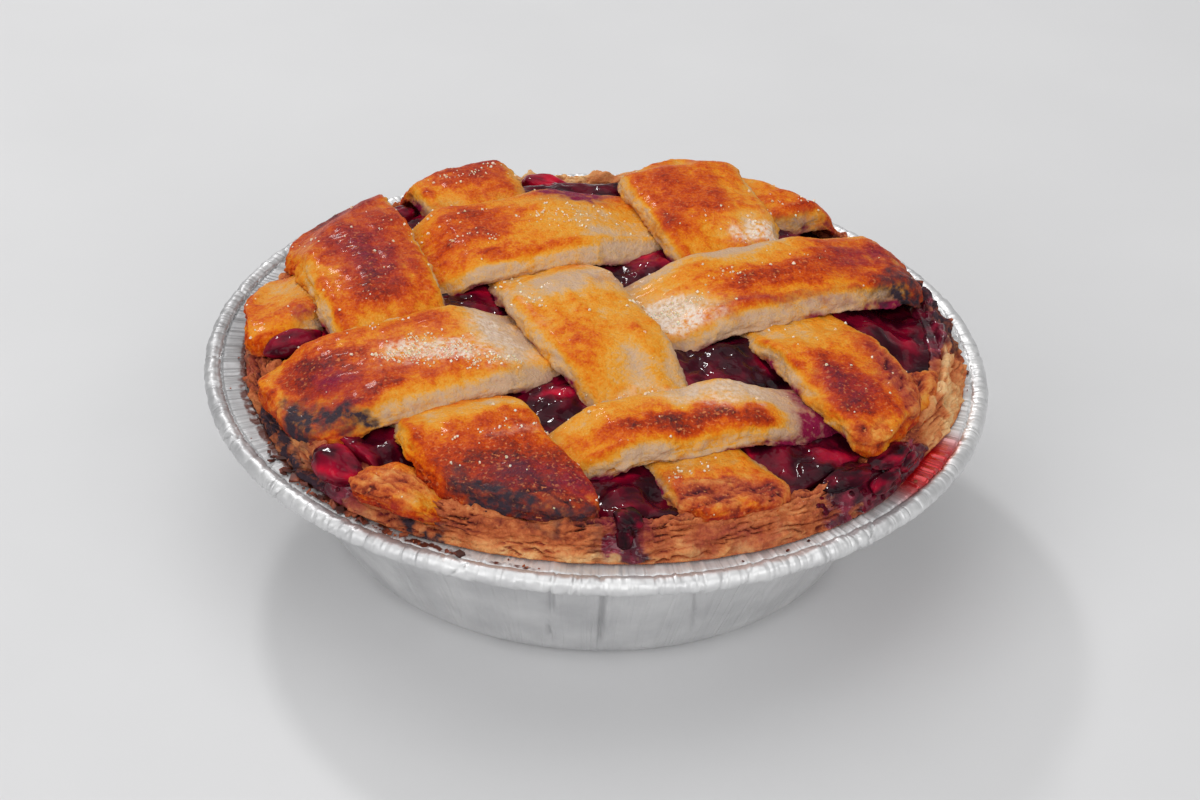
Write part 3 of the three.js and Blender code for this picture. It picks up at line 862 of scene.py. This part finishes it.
        # Painted shade: the splits between open flakes are painted darker.
        baked_and_shade += flaky * (0.03 + 0.2 * split - 0.16 * flakes + 0.1 * blister)
        soaked = dome_height(points[:, 0], points[:, 1]) - JELLY_BELOW_DOME - points[:, 2]
        seep = smooth((soaked + 1.5 + 1.3 * noise(along, (7, 40, 40), self.seed + 14)) / 1.2)
        seep *= (1 - 0.7 * rim) * (0.7 + 0.6 * noise(points, 3, self.seed + 21))
        seep *= 0.25 + 0.75 * smooth((depth - 0.05) / 0.3)
        paint = {
            "baked_and_shade": limited(baked_and_shade),
            "burnt": limited(spots(BURNT, 2, 0.7)),
            "stained": limited(spots(STAINED, 3, 0.3) + seep),
            "floury": limited(spots(FLOURY, 4, 0.6)) * top,
            "dry": limited(side + 0.7 * flaky),
            "flaky": 0.8 * flaky,
            "wet": 0,
        }
        piece("strip_" + self.name, points, faces, material, "lattice", paint, "lattice_" + self.name)
        return points, normals, top


# ---- Foil pan ----


def pan_wall(z):
    return mix(PAN["base_radius"], PAN["wall_top"], limited(z / PAN["flange_height"]))


def resampled(outline, step):
    """An outline's points with more between them, about step apart."""
    made = [outline[0]]
    for a, b in zip(outline, outline[1:]):
        count = max(1, round(math.dist(a, b) / step))
        made += [(mix(a[0], b[0], k / count), mix(a[1], b[1], k / count)) for k in range(1, count + 1)]
    return made


def arc(centre, radius, start, stop, count):
    """Points round an arc, between two angles in degrees."""
    angles = np.radians(np.linspace(start, stop, count))
    return [(centre[0] + radius * math.cos(a), centre[1] + radius * math.sin(a)) for a in angles]


def turn_from(theta, start):
    """The turn from a start to these directions, the short way round."""
    return (theta - start + math.pi) % TURN - math.pi


def around(theta, degrees, spread):
    """1 at this direction round the pie, falling away over the spread, both in degrees."""
    return bell(turn_from(theta, math.radians(degrees)), math.radians(spread))


def foil_outline():
    """The pan's section, from the axis underneath, up the wall, round the bead and back inside."""
    foil, corner = PAN["foil"], PAN["corner"]
    flange, wall_top, base = PAN["flange_height"], PAN["wall_top"], PAN["base_radius"]
    half_bend = PAN["bend"] / 2
    bead = (PAN["rim_radius"] - PAN["bead_radius"], PAN["bead_height"])
    under_base = resampled([(0, 0), (base - corner - 4, 0)], 12)
    under_base += resampled([(base - corner - 3, 0), (base - corner, 0)], 1)
    turn_up = arc((base - corner, corner), corner, -80, -30, 6)
    wall_end = (wall_top + foil - half_bend, flange - foil - PAN["bend"])
    wall = resampled([(pan_wall(corner) + foil, corner), wall_end], 1.5)
    lip = (bead[0] - 1.2, flange - foil - 0.1)
    under_flange = resampled([(wall_top + foil + half_bend, flange - foil), lip], 1.0)
    roll = arc(bead, PAN["bead_radius"], 200, 480, 24)
    across_groove = ((1.15, 0.25), (1.35, -0.42), (1.55, -0.05))
    groove = [(bead[0] - inward, flange + rise) for inward, rise in across_groove]
    top = resampled([(bead[0] - 1.8, flange), (wall_top + half_bend, flange)], 0.5)
    inside = [
        (wall_top - half_bend, flange - PAN["bend"]), (pan_wall(corner) - 0.1, corner + foil),
        (base - 3, foil), (0, foil),
    ]
    return np.array(under_base + turn_up + wall + under_flange + roll + groove + top + inside), bead


# Burnt syrup on the flange: direction and spread in degrees, inner and outer radius, strength.
FLANGE_DRIPS = (
    (-128, 10, 57.2, 60.2, 0.9), (-140, 9, 57.0, 59.4, 0.9), (-113, 7, 59.2, 60.8, 0.8),
    (-100, 6, 59.8, 61.0, 0.6), (172, 40, 56.0, 58.2, 1.0), (-152, 22, 56.0, 58.8, 1.0),
    (52, 24, 56.0, 58.4, 0.9), (110, 40, 56.0, 57.4, 0.7), (14, 16, 56.0, 59.0, 0.8),
)


def bead_creases(theta, roll_angle, bead_radius, rng):
    """The bead's small flat facets, with a slanting crease between each two."""
    creases = np.zeros_like(roll_angle)
    position = 0.0
    while position < TURN - 0.02:
        facet = rng.uniform(0.014, 0.07)
        tilted = limited((theta - position) / facet)
        creases += rng.uniform(-0.22, 0.22) * (tilted - 0.5) * ((tilted > 0) & (tilted < 1))
        slant = rng.normal(0, 0.01)
        depth = 0.5 * rng.uniform(0.2, 1) ** 2
        width = rng.uniform(0.1, 0.24) / bead_radius
        creases += depth * bell(turn_from(theta - slant * roll_angle, position), width)
        position += facet
    return creases


def wall_flutes(theta, height, rng):
    """Narrow pressed grooves down the wall, each over a part of its height."""
    flutes = np.zeros_like(height)
    for _ in range(FLUTES):
        middle = rng.uniform(0, TURN)
        lean = rng.normal(0, 0.0026)
        strong = rng.uniform(0.3, 1.3)
        low, high = sorted(rng.uniform(0, 30, 2))
        turn = turn_from(theta - lean * (height - 15), middle)
        reach = smooth((height - low) / 5) * smooth((high + 6 - height) / 5)
        flutes += strong * reach * (bell(turn, 0.0085) - 0.5 * bell(turn - 0.019, 0.012))
    return flutes


def foil_pan(material):
    """The pan, with creases in its rolled edge, pleats on its flange and flutes down its wall."""
    outline, bead = foil_outline()
    foil, flange, wall_top = PAN["foil"], PAN["flange_height"], PAN["wall_top"]
    theta = directions(PAN_TURNS)
    radius, height = swept(outline, len(theta))
    rng = np.random.default_rng(5)

    def ring(size, seed):
        """Noise round the pan."""
        x, y = FLANGE_MIDDLE * np.cos(theta), FLANGE_MIDDLE * np.sin(theta)
        return noise(joined(x, y, 0)[:, 0], size, seed)[:, None]

    def everywhere(reach, size, seed):
        """Rough noise all over the pan."""
        places = joined(reach * np.cos(theta), reach * np.sin(theta), height)
        return rough(places.reshape(-1, 3), size, 2, seed).reshape(radius.shape)

    from_bead = np.hypot(radius - bead[0], height - bead[1])
    in_bead = bell(from_bead - PAN["bead_radius"], 0.5) * (radius > bead[0] - 1.3)
    on_flange = smooth((radius - wall_top) / 0.8) * (1 - in_bead) * (height > flange - 1.2)
    on_wall = smooth((height - 1.5) / 4) * smooth((flange - 1.5 - height) / 3) * (radius < wall_top + foil)

    creases = bead_creases(theta, np.arctan2(height - bead[1], radius - bead[0]), bead[0], rng)
    creases += 0.08 * ring(4.4, 11) + 0.1 * everywhere(radius, (1.5, 1.5, 0.9), 12)
    inward = in_bead * creases / np.maximum(from_bead, 0.3)
    radius, height = radius - inward * (radius - bead[0]), height - inward * (height - bead[1])

    pleats = 0.4 * np.abs(ring(1.1, 21)) + 0.3 * np.abs(ring(3.1, 22)) - 0.2
    height = height + on_flange * pleats * smooth((radius - wall_top - 0.4) / 1.5)
    height = height + 0.2 * ring(26, 31) * smooth((radius - wall_top) / 5)
    dents = everywhere(50, (12, 12, 24), 41)
    radius = radius + on_wall * (0.26 * dents - wall_flutes(theta, height, rng))

    upper = height > flange - 2
    brown = np.zeros_like(radius)
    for degrees, spread, start, stop, strong in FLANGE_DRIPS:
        band = smooth((radius - start + 0.6) / 0.6) * smooth((stop - radius) / 0.8)
        brown = np.maximum(brown, strong * around(theta, degrees, spread) * band)
    film = smooth(1.9 * around(theta, -29, 13) - 0.7)
    film = film * smooth((radius - 55.5) / 1) * smooth((61.6 - radius) / 0.5)
    paint = {
        "stained": brown * upper,
        "film": film * upper,
        "flange": np.maximum(on_flange, 0.35 * in_bead),
        # Painted reflection: the foil is darker on the left of the flange and bead.
        "dull": 0.75 * np.maximum(on_flange, 0.5 * in_bead) * around(theta, 178, 46),
    }
    piece("foil_shell", *revolved(radius, height), material, "foil", paint, "foil_pan")


# ---- Pastry case ----


def edge_radius(theta):
    """How far out the case's edge reaches in each direction."""
    edge = CRUST["radius"] + CRUST["slip"] * np.cos(theta)
    edge = edge + CRUST["bulge"] * around(theta, CRUST["bulge_angle"], CRUST["bulge_width"])
    return edge - CRUST["inset"] * around(theta, CRUST["inset_angle"], CRUST["inset_width"])


def rim_inside(theta):
    return edge_radius(theta) - CRUST["rim_width"] - CRUST["rim_round"]


def shoulder_height(theta):
    return CRUST["shoulder"] + CRUST["shoulder_tilt"] * np.sin(theta)


def case_sweep(turns):
    """Tables of radius and height over the case's section, and the height of the flange's top."""
    theta = directions(turns)
    outer, inner, shoulder = edge_radius(theta), rim_inside(theta), shoulder_height(theta)
    rest = PAN["flange_height"] + GAP
    thick = CRUST["thickness"]
    under, floor = PAN["foil"] + GAP, PAN["foil"] + thick
    at_bend = PAN["wall_top"] + 0.3
    section = [
        (0, under), (20, under), (PAN["base_radius"] - 2.6, under), (pan_wall(3) - 0.7, 3),
        (pan_wall(15) - 0.6, 15), (PAN["wall_top"] - 1.25, rest - 0.9), (at_bend, rest),
    ]
    section += [(mix(at_bend, outer - 0.1, k / 5), rest) for k in range(1, 5)]
    for share in np.linspace(0, 1, 52):
        section.append((outer - 0.1 - 2.6 * share**1.7, rest + (shoulder - 0.5 - rest) * share))
    for share in np.linspace(0, 1, 24)[1:]:
        rise = 0.5 * math.sin(math.pi * share) - 0.5 * share
        section.append((mix(outer - 2.7, inner, share), shoulder - 0.5 + rise))
    section += [
        (inner - 0.9, shoulder - 2.4), (inner - 1.6, shoulder - thick), (pan_wall(22) - thick, 22),
        (PAN["base_radius"] - 1.5 * thick, floor), (20, floor), (0, floor),
    ]
    return *swept(section, turns), rest


# Ovals on the case, as for the strips.
CASE_BROWNED = (
    (48, 36, 16, 4, -45, 0.16), (-32, -50.5, 10, 3, -28, 0.22), (-52, -20, 12, 3, -70, 0.14),
    (10, -54, 9, 3, 8, 0.06), (24, -51, 7, 3, 20, 0.05), (52, 4, 6, 3, 90, 0.15),
)
CASE_PALE = (
    (57, -8, 12, 2.6, -85, 0.34), (53, -22, 8, 3, -65, 0.3), (-56, 8, 14, 4, -80, 0.3),
    (54, -12, 9, 1.2, -80, 0.7), (0, -58.5, 16, 1.4, 2, 0.16), (28, -52, 10, 1.4, 25, 0.12),
    (47, -33, 6, 3, -50, 0.15), (-6, 55, 16, 5, 0, 0.34), (-35, -47, 5, 3, -40, 0.12),
)
CASE_BURNT = (
    (-25, -55.5, 5, 2.6, -22, 1.1), (-47, -37, 7, 3, -50, 1.0), (-52, -28, 9, 2.8, -62, 1.0),
    (-41, -42, 3, 2, -45, 0.8), (56, 14, 14, 3, 100, 0.8), (52, 24, 8, 3, 120, 0.5),
    (-45, 36, 14, 2, 50, 0.4), (-57, -8, 10, 1.2, -85, 0.5), (-3, -55, 6, 1, 0, 0.4),
)
CASE_STAINED = (
    (46, -36, 10, 4, 45, 0.6), (52, 8, 14, 4, 95, 0.7), (-38, -45, 7, 4, -45, 0.5),
    (54, 18, 6, 2.4, 120, 0.4), (-56, -6, 9, 2, -85, 0.4), (5, -54, 4, 3, 0, 0.7),
    (22, -53.5, 12, 1.6, 20, 0.25),
)
CASE_WET = (
    (42, -38.5, 8, 2, 42, 1.0), (48, -34, 6, 2.6, 55, 0.8), (39, -43, 5, 1.4, 35, 0.8),
    (46, -39, 2, 3.4, 40, 0.8), (50, -30, 5, 1.4, 60, 0.6), (5.2, -54, 2.6, 3, 5, 1.0),
    (5.6, -57, 1.8, 2.4, 90, 0.9), (-49, -37, 5, 1.6, -52, 0.5), (-37, -43, 3, 3, -45, 0.8),
    (53, 5, 7, 2.2, 95, 0.9), (51, 12, 5, 2, 100, 0.8),
)


def pastry_case(material):
    """The baked case: rough flaky ledges outside, whose edges also show on top of its rim."""
    radius, height, rest = case_sweep(CASE_TURNS)
    points, faces = revolved(radius, height)
    normals = outward(points, faces)
    angle = np.arctan2(points[:, 1], points[:, 0])
    reach = np.hypot(points[:, 0], points[:, 1])
    z = points[:, 2]
    crisp = smooth((z - rest + 0.1) / 0.5) * smooth((reach - 49) / 2)
    ring = joined(58 * np.cos(angle), 58 * np.sin(angle), 0)
    flatness = smooth((normals[:, 2] - 0.4) / 0.4)

    level = mix((z - rest) / 1.55, 4 + (edge_radius(angle) - reach) / 1.7, flatness)
    level += 1.15 * noise(ring, 19, 51) + 0.5 * noise(ring, 6, 52) + 0.45 * rough(points, 3.4, 3, 68)
    level += 0.42 * np.round(1.7 * noise(ring, 8, 76))
    spread = ring + np.floor(level)[:, None] * (17.0, 31.0, 23.0)
    ledge = 0.7 * noise(spread, 11, 53) + 0.5 * noise(spread, 4.5, 54) + 0.25 * noise(spread, 1.6, 55)
    opened = smooth((noise(spread, 8.0, 56) - 0.12) / 0.3)
    crack = bell(off_whole(level), 0.13) * opened
    swollen = 0.24 * np.sin(math.pi * (level % 1))
    crumb = 0.62 * rough(points, 2.6, 4, 57) + 0.36 * pebbles(points, 1.6, 62)
    wet = np.clip(painted(points, CASE_WET, 63, 0.8), 0, 1.2)
    relief = crisp * (0.72 * ledge - 0.75 * crack + swollen + crumb - 0.35)
    film = crisp * (0.12 * pebbles(points, 1.2, 64) + 0.4 * rough(points, 5, 2, 70) + 0.25)
    relief = mix(relief, film, smooth(wet * 1.6 - 0.4))
    folds = np.cos((edge_radius(angle) - reach) * TURN / 3.1 + 1.4 * noise(ring, 9, 65))
    relief += 0.95 * folds * flatness * crisp * np.maximum(around(angle, -8, 22), around(angle, 20, 16))
    points = points + normals * relief[:, None]

    # Painted shade: the cracks between the ledges are painted darker.
    baked_and_shade = 0.56 + 0.16 * ledge + 0.34 * crack + 0.14 * noise(points, 5, 58) - 0.12 * crumb
    baked_and_shade -= (0.1 + 0.2 * around(angle, -88, 26)) * smooth((rest + 2.8 - z) / 2.0) * (1 - flatness)
    baked_and_shade -= 0.2 * folds * flatness * around(angle, 0, 30)
    baked_and_shade += painted(points, CASE_BROWNED, 59, 0.4) - painted(points, CASE_PALE, 67, 0.4)
    contact = smooth((rest + 0.35 - z) / 0.35) * crisp
    stained = painted(points, CASE_STAINED, 61, 0.4) + 0.45 * crack * smooth(noise(ring, 15, 77) + 0.4)
    inner = smooth((52.5 - reach) / 1.2) * crisp
    paint = {
        "baked_and_shade": limited(mix(0.5, baked_and_shade, crisp) + 0.12 * contact),
        "burnt": limited(painted(points, CASE_BURNT, 60, 0.8) + 0.12 * contact),
        "stained": limited(stained + 0.7 * inner),
        "floury": 0,
        "dry": limited(1 - 0.6 * flatness),
        "flaky": 0,
        "wet": limited(wet + 0.4 * inner) * crisp,
    }
    points[:, 2] += BACK_RIM_RISE * around(angle, 95, 45) * crisp * smooth((z - rest) / 4)
    piece("baked_case", points, faces, material, "crust", paint, "pastry_case")
    return points, normals, crisp


# ---- Filling ----

# Cherries that stand up out of the jelly in the gaps: x, y, radius, height above the jelly.
CHERRIES = (
    (-37, -40.5, 5.5, 2.2), (-32, -36.5, 4, 0.9), (-48, -9, 5, 1.6), (-6.5, -25, 4, 0.6),
    (21, -13, 5, 0.6), (8, 13, 4.5, 0.8), (47, 0, 5, 0.8), (35, -37, 5, 1.0),
    (29, -36, 4, 0.6), (5, -49, 4, 0.8), (-11, 45, 4, 0.9), (-34, 32, 4, 0.6),
    (-22, -1, 4, 0.5), (42, -37, 4, 0.8), (36, 26, 4, 0.5),
)
# Ovals where the jelly is bright.
BRIGHT = (
    (-38, -41, 5, 3.5, -40, 0.7), (-48, -9, 6, 4, 30, 0.7), (-10, 46, 5, 4, 0, 0.7),
    (8, 14, 4, 3, 0, 0.4), (48, 2, 6, 5, 0, 0.2), (-6, -24, 4, 1.6, 25, 0.5),
    (3, -46, 3, 3, 0, 0.2), (-34, 32, 4, 3, 0, 0.3), (39, -36, 3, 6, 60, 0.25),
)


# Where the jelly stands high against the rim: direction and spread in degrees, rise.
JELLY_AT_RIM = ((-40, 14, 1.0), (-132, 8, 1.2), (-84, 5, 1.2), (2, 12, 0.8))


def filling(material, strips):
    """The jelly between case and lattice, wrinkled and with cherries under its skin."""
    theta = directions(JELLY_TURNS)
    rim, shoulder = rim_inside(theta), shoulder_height(theta)
    thick = CRUST["thickness"]
    floor = PAN["foil"] + thick + GAP
    brim = shoulder - 1.1
    for degrees, spread, rise in JELLY_AT_RIM:
        brim = brim + rise * around(theta, degrees, spread)
    columns = [
        (0, floor), (20, floor), (PAN["base_radius"] - 1.5 * thick - GAP, floor),
        (pan_wall(22) - thick - GAP, 22), (rim - 1.6 - GAP, shoulder - thick),
    ]
    for k in range(JELLY_RINGS):
        r = (rim - GAP) * (1 - k / JELLY_RINGS)
        level = dome_height(r * np.cos(theta), r * np.sin(theta)) - JELLY_BELOW_DOME
        columns.append((r, mix(level, np.minimum(level, brim), smooth((r - 41) / 9))))
    columns.append((0, dome_height(0, 0) - JELLY_BELOW_DOME))
    points, faces = revolved(*swept(columns, JELLY_TURNS))
    surface = smooth((points[:, 2] - 29.5) / 1.5)
    lumps = np.zeros(len(points))
    for x, y, size, rise in CHERRIES:
        away = np.hypot(points[:, 0] - x, points[:, 1] - y) / size
        lumps = np.maximum(lumps, rise * np.sqrt(limited(1 - away**2)))
    flow = rough(points, (6, 6, 40), 2, 71)
    wrinkles = 1 - 2 * np.abs(rough(points, (3.2, 3.2, 30), 2, 72))
    points[:, 2] += surface * (lumps + 0.5 * flow + 0.22 * wrinkles - 0.4)
    thin = 0.24 + 0.24 * noise(points, 4, 73) + 0.08 * lumps + painted(points, BRIGHT, 74, 0.5)
    for strip in strips.values():
        u, v = points[:, :2] @ strip.along, points[:, :2] @ strip.across
        away = np.clip(np.abs(v - strip.centre(u)) - strip.half_width(u), 0, 9)
        thin += 0.4 * np.exp(-away / 0.9) * (away > 0) * (0.6 + 0.8 * noise(points, 5, 75))
    piece("cherry_jelly", points, faces, material, "filling", {"thin": limited(thin)}, "cherry_filling")


# Whole cherries that stand proud, and jelly that has run over the rim: x, y, z, radius along,
# across and up, direction, how bright.
PROUD = (
    (-37.5, -42.2, 32.9, 5.2, 2.9, 2.5, -44, 0.56), (-48, -10, 34.6, 5.2, 2.6, 2.0, 32, 0.5),
    (-10.5, 47.2, 34.2, 4.4, 2.8, 1.8, -5, 0.8), (-34.5, 31, 35.7, 2.8, 2.4, 1.8, 60, 0.5),
    (5.4, -54.4, 34.2, 3.0, 2.1, 1.0, -85, 0.2), (5.2, -56.6, 32.3, 1.2, 1.5, 2.2, -85, 0.26),
    (38.2, -40.0, 33.8, 5.0, 2.6, 0.9, 45, 0.26), (45.2, -34.0, 33.9, 4.6, 2.2, 0.7, 52, 0.36),
    (44.4, -38.6, 32.4, 3.4, 1.0, 1.8, 47, 0.34), (47.8, -33.2, 32.4, 2.6, 0.9, 1.6, 54, 0.4),
)
# Ovals where jelly boiled over the rim and left drops.
BOILED_OVER = (
    (41, -40, 8, 2.6, 42, 0.8), (47, -34.5, 7, 3.4, 55, 0.7), (5.2, -54.5, 2, 3, 5, 0.7),
    (5.6, -57, 1.4, 1.8, 90, 0.4), (-37.5, -44, 4, 2, -48, 0.2), (51.5, 3, 2, 8, 0, 0.3),
)


def ball(columns, rows):
    """A unit sphere with a small opening underneath."""
    across = TURN * np.arange(columns) / columns
    up = (math.pi * np.arange(rows) / rows)[:, None]
    points = joined(np.sin(up) * np.cos(across), np.sin(up) * np.sin(across), np.cos(up))
    index = np.arange(columns * rows).reshape(rows, columns)
    index[0] = index[0, 0]
    nxt = np.roll(index, -1, axis=1)
    faces = joined(index[:-1], index[1:], nxt[1:], nxt[:-1])
    return points.reshape(-1, 3), faces.reshape(-1, 4)


def proud_cherries(material):
    """The cherries that show in the gaps, and thick jelly on the rim, as one mesh."""
    unit, sides = ball(48, 30)
    points, faces, thin = [], [], []
    for number, (x, y, z, along, across, up, degrees, bright) in enumerate(PROUD):
        angle = math.radians(degrees)
        local = unit * (1 + 0.2 * rough(unit + 5 * number, 1.1, 2, 91))[:, None] * (along, across, up)
        turned_x = local[:, 0] * math.cos(angle) - local[:, 1] * math.sin(angle)
        turned_y = local[:, 0] * math.sin(angle) + local[:, 1] * math.cos(angle)
        points.append(joined(turned_x + x, turned_y + y, local[:, 2] + z))
        faces.append(sides + number * len(unit))
        thin.append(limited(bright + 0.3 * rough(unit + number, 0.8, 3, 92)))
    paint = {"thin": np.concatenate(thin)}
    piece("proud_cherries", np.concatenate(points), np.concatenate(faces), material, "filling", paint)


def boiled_over(landing, material):
    """Bubbles and drops of jelly on the rim and the wall, as one mesh."""
    places, normals, crisp = landing
    rng = np.random.default_rng(12)
    thick = limited(painted(places, BOILED_OVER, 93, 0.6)) ** 1.5 * crisp * (places[:, 2] > 29.5)
    chosen = rng.choice(len(places), JELLY_DROPS, replace=False, p=thick / thick.sum())
    sizes = 0.14 + 0.5 * rng.uniform(0, 1, len(chosen)) ** 2
    unit, sides = ball(12, 7)
    up = normals[chosen]
    first = np.cross(up, (0.3, 0.9, 0.2))
    first /= np.linalg.norm(first, axis=1, keepdims=True)
    wide = rng.uniform(0.8, 1.4, len(chosen))[:, None]
    frames = np.stack([first * wide, np.cross(up, first), 0.3 * up], axis=1) * sizes[:, None, None]
    points = np.einsum("pk,nkj->npj", unit, frames) + (places[chosen] + 0.05 * up)[:, None, :]
    faces = (len(unit) * np.arange(len(chosen))[:, None, None] + sides).reshape(-1, 4)
    thin = np.repeat(rng.uniform(0.3, 0.5, len(chosen)), len(unit))
    piece("boiled_jelly", points.reshape(-1, 3), faces, material, "filling", {"thin": thin})


# ---- Sugar and crumbs ----

# Ovals where the sugar lies thick.
SUGARED = (
    (-26, -20, 8, 3.4, 6, 1.0), (-17, -21, 6, 2, 0, 0.7), (-32, -12, 6, 2, 20, 0.2),
    (-5, 22, 9, 4, 20, 0.3), (-22, 13, 5, 3, 20, 0.2), (-12, -39, 8, 2.4, 15, 0.24),
    (-14, -45, 8, 3, 0, 0.1), (-23, 40, 9, 5, 20, 0.2), (-12, -3, 10, 1.4, -62, 0.35),
    (1, -29, 6, 2, 20, 0.4), (12, -3, 6, 3.4, 20, 0.6), (22, 4, 7, 2, 20, 0.2),
    (28, -4, 4, 3, 0, 0.2), (22, 24, 5, 6, -60, 0.2), (34, 32, 6, 4, 0, 0.15),
    (16, -41, 6, 2, 20, 0.2), (8, -27, 5, 3, 20, 0.2), (-30, 18, 5, 8, -66, 0.1),
)


def chips(name, middles, sizes, rng, material, slot, tumble=(1, 1)):
    """Small rough blocks at these places, turned at random, as one mesh. The tumble says how far
    they are turned off the level, and how thick they are, both up to 1."""
    count = len(middles)
    corners = CORNERS * 2 - 1 + rng.uniform(-0.3, 0.3, (count, 8, 3))
    corners *= sizes[:, None, None] / 2 * rng.uniform(0.55, 1, (count, 1, 3))
    corners[..., 2] *= tumble[1]
    q = rng.normal(size=(count, 4)) * (1, tumble[0], tumble[0], 1)
    q /= np.linalg.norm(q, axis=1, keepdims=True)
    turn = np.array([Quaternion(row).to_matrix() for row in q])
    points = np.einsum("nij,nkj->nki", turn, corners) + middles[:, None, :]
    sides = np.array([(0, 1, 3, 2), (4, 6, 7, 5), (0, 4, 5, 1), (2, 3, 7, 6), (0, 2, 6, 4), (1, 5, 7, 3)])
    faces = (8 * np.arange(count)[:, None, None] + sides).reshape(-1, 4)
    obj = piece(name, points.reshape(-1, 3), faces, material, slot)
    obj.data.polygons.foreach_set("use_smooth", np.zeros(len(faces), bool))


def sugar(landings):
    """Coarse sugar, scattered over the strips and thick in some places."""
    points, normals, top = (np.concatenate(parts) for parts in zip(*landings))
    rng = np.random.default_rng(8)
    thick = painted(points, SUGARED, 81, 0.5)
    weight = top * (0.003 + limited(thick) ** 1.8) * (0.3 + smooth(rough(points, 3, 3, 82) + 0.4))
    chosen = rng.choice(len(points), SUGAR_GRAINS, replace=False, p=weight / weight.sum())
    sizes = 0.14 + 0.32 * rng.uniform(0, 1, len(chosen)) ** 1.5
    middles = points[chosen] + normals[chosen] * (sizes * 0.15)[:, None]
    chips("sugar_grains", middles, sizes, rng, sugar_material(), "lattice")


def crumbs():
    """Burnt crumbs on the flange, most of them at the front left."""
    rng = np.random.default_rng(9)
    angles = np.radians(np.concatenate([rng.normal(-127, 12, 80), rng.uniform(-180, 180, 24)]))
    reach = edge_radius(angles) + 0.2 + 2.6 * rng.uniform(0, 1, len(angles)) ** 1.5
    reach = np.minimum(reach, PAN["rim_radius"] - 3.4)
    sizes = 0.3 + 1.5 * rng.uniform(0, 1, len(angles)) ** 3
    heights = PAN["flange_height"] + 0.15 + sizes * 0.12
    middles = joined(reach * np.cos(angles), reach * np.sin(angles), heights)
    chips("burnt_crumbs", middles, sizes, rng, crumb_material(), "crust", (0.16, 0.4))


# ---- Scene ----

CAMERA = {
    "elevation": 32.43,
    "distance": 450,
    "lens": 84.6,
    "roll": 2.46,
    "aim": (0.75, -11.71, 27.58),
}


def add_camera():
    """The camera of the photo, looking down at the pie's front and rolled a little."""
    data = bpy.data.cameras.new("camera")
    data.lens = CAMERA["lens"]
    data.sensor_width = 36
    data.clip_start = 0.01
    camera = bpy.data.objects.new("camera", data)
    elevation, roll = math.radians(CAMERA["elevation"]), math.radians(CAMERA["roll"])
    back = Vector((0, -math.cos(elevation), math.sin(elevation)))
    right = Vector((1, 0, 0))
    up = back.cross(right)
    turned_right = right * math.cos(roll) + up * math.sin(roll)
    turned_up = up * math.cos(roll) - right * math.sin(roll)
    matrix = Matrix((turned_right, turned_up, back)).transposed().to_4x4()
    matrix.translation = (Vector(CAMERA["aim"]) + back * CAMERA["distance"]) * MM
    camera.matrix_world = matrix
    bpy.context.scene.collection.objects.link(camera)
    bpy.context.scene.camera = camera


def add_light(name, place, size, power):
    """A square soft light that faces the pie."""
    data = bpy.data.lights.new(name, "AREA")
    data.shape = "SQUARE"
    data.size = size
    data.energy = power
    light = bpy.data.objects.new(name, data)
    light.location = place
    light.rotation_euler = (Vector(place) - Vector((0, 0, 0.03))).to_track_quat("Z", "Y").to_euler()
    bpy.context.scene.collection.objects.link(light)


def add_floor():
    bpy.ops.mesh.primitive_plane_add(size=6, location=(0, 0, 0))
    floor = bpy.context.object
    floor.name = "floor"
    m = Shader("floor", Roughness=0.6)
    shades = ((0.35, (212, 212, 213)), (0.65, (215, 215, 216)))
    floor.data.materials.append(m.finish(Base_Color=m.ramp(m.grain(60, 3), shades)))


def add_world():
    world = bpy.data.worlds.new("studio")
    world.use_nodes = True
    world.node_tree.nodes["Background"].inputs["Color"].default_value = (1, 1, 1, 1)
    world.node_tree.nodes["Background"].inputs["Strength"].default_value = 0.39
    bpy.context.scene.world = world


def main():
    add_camera()
    add_world()
    add_light("overhead", (-0.2, 0.2, 1.3), 1.4, 6)
    add_light("window", (-0.5, 1.1, 1.0), 0.15, 5)
    add_light("front_left", (-1.2, -1.2, 1.0), 1.4, 12.5)
    add_light("front_right", (0.9, -1.3, 1.0), 1.4, 10.5)
    add_floor()
    bpy.context.scene.view_settings.view_transform = "Standard"

    strips = {name: Strip(name, sizes) for name, sizes in STRIPS.items()}
    for strip in strips.values():
        strip.find_crossings(strips)
    lattice = pastry_material("lattice_pastry", 0.32, BAKED_LATTICE)
    sugar([strip.make(lattice) for strip in strips.values()])
    foil_pan(foil_material())
    jelly = filling_material()
    boiled_over(pastry_case(pastry_material("case_pastry", 0.5, BAKED_CASE)), jelly)
    filling(jelly, strips)
    proud_cherries(jelly)
    crumbs()


main()
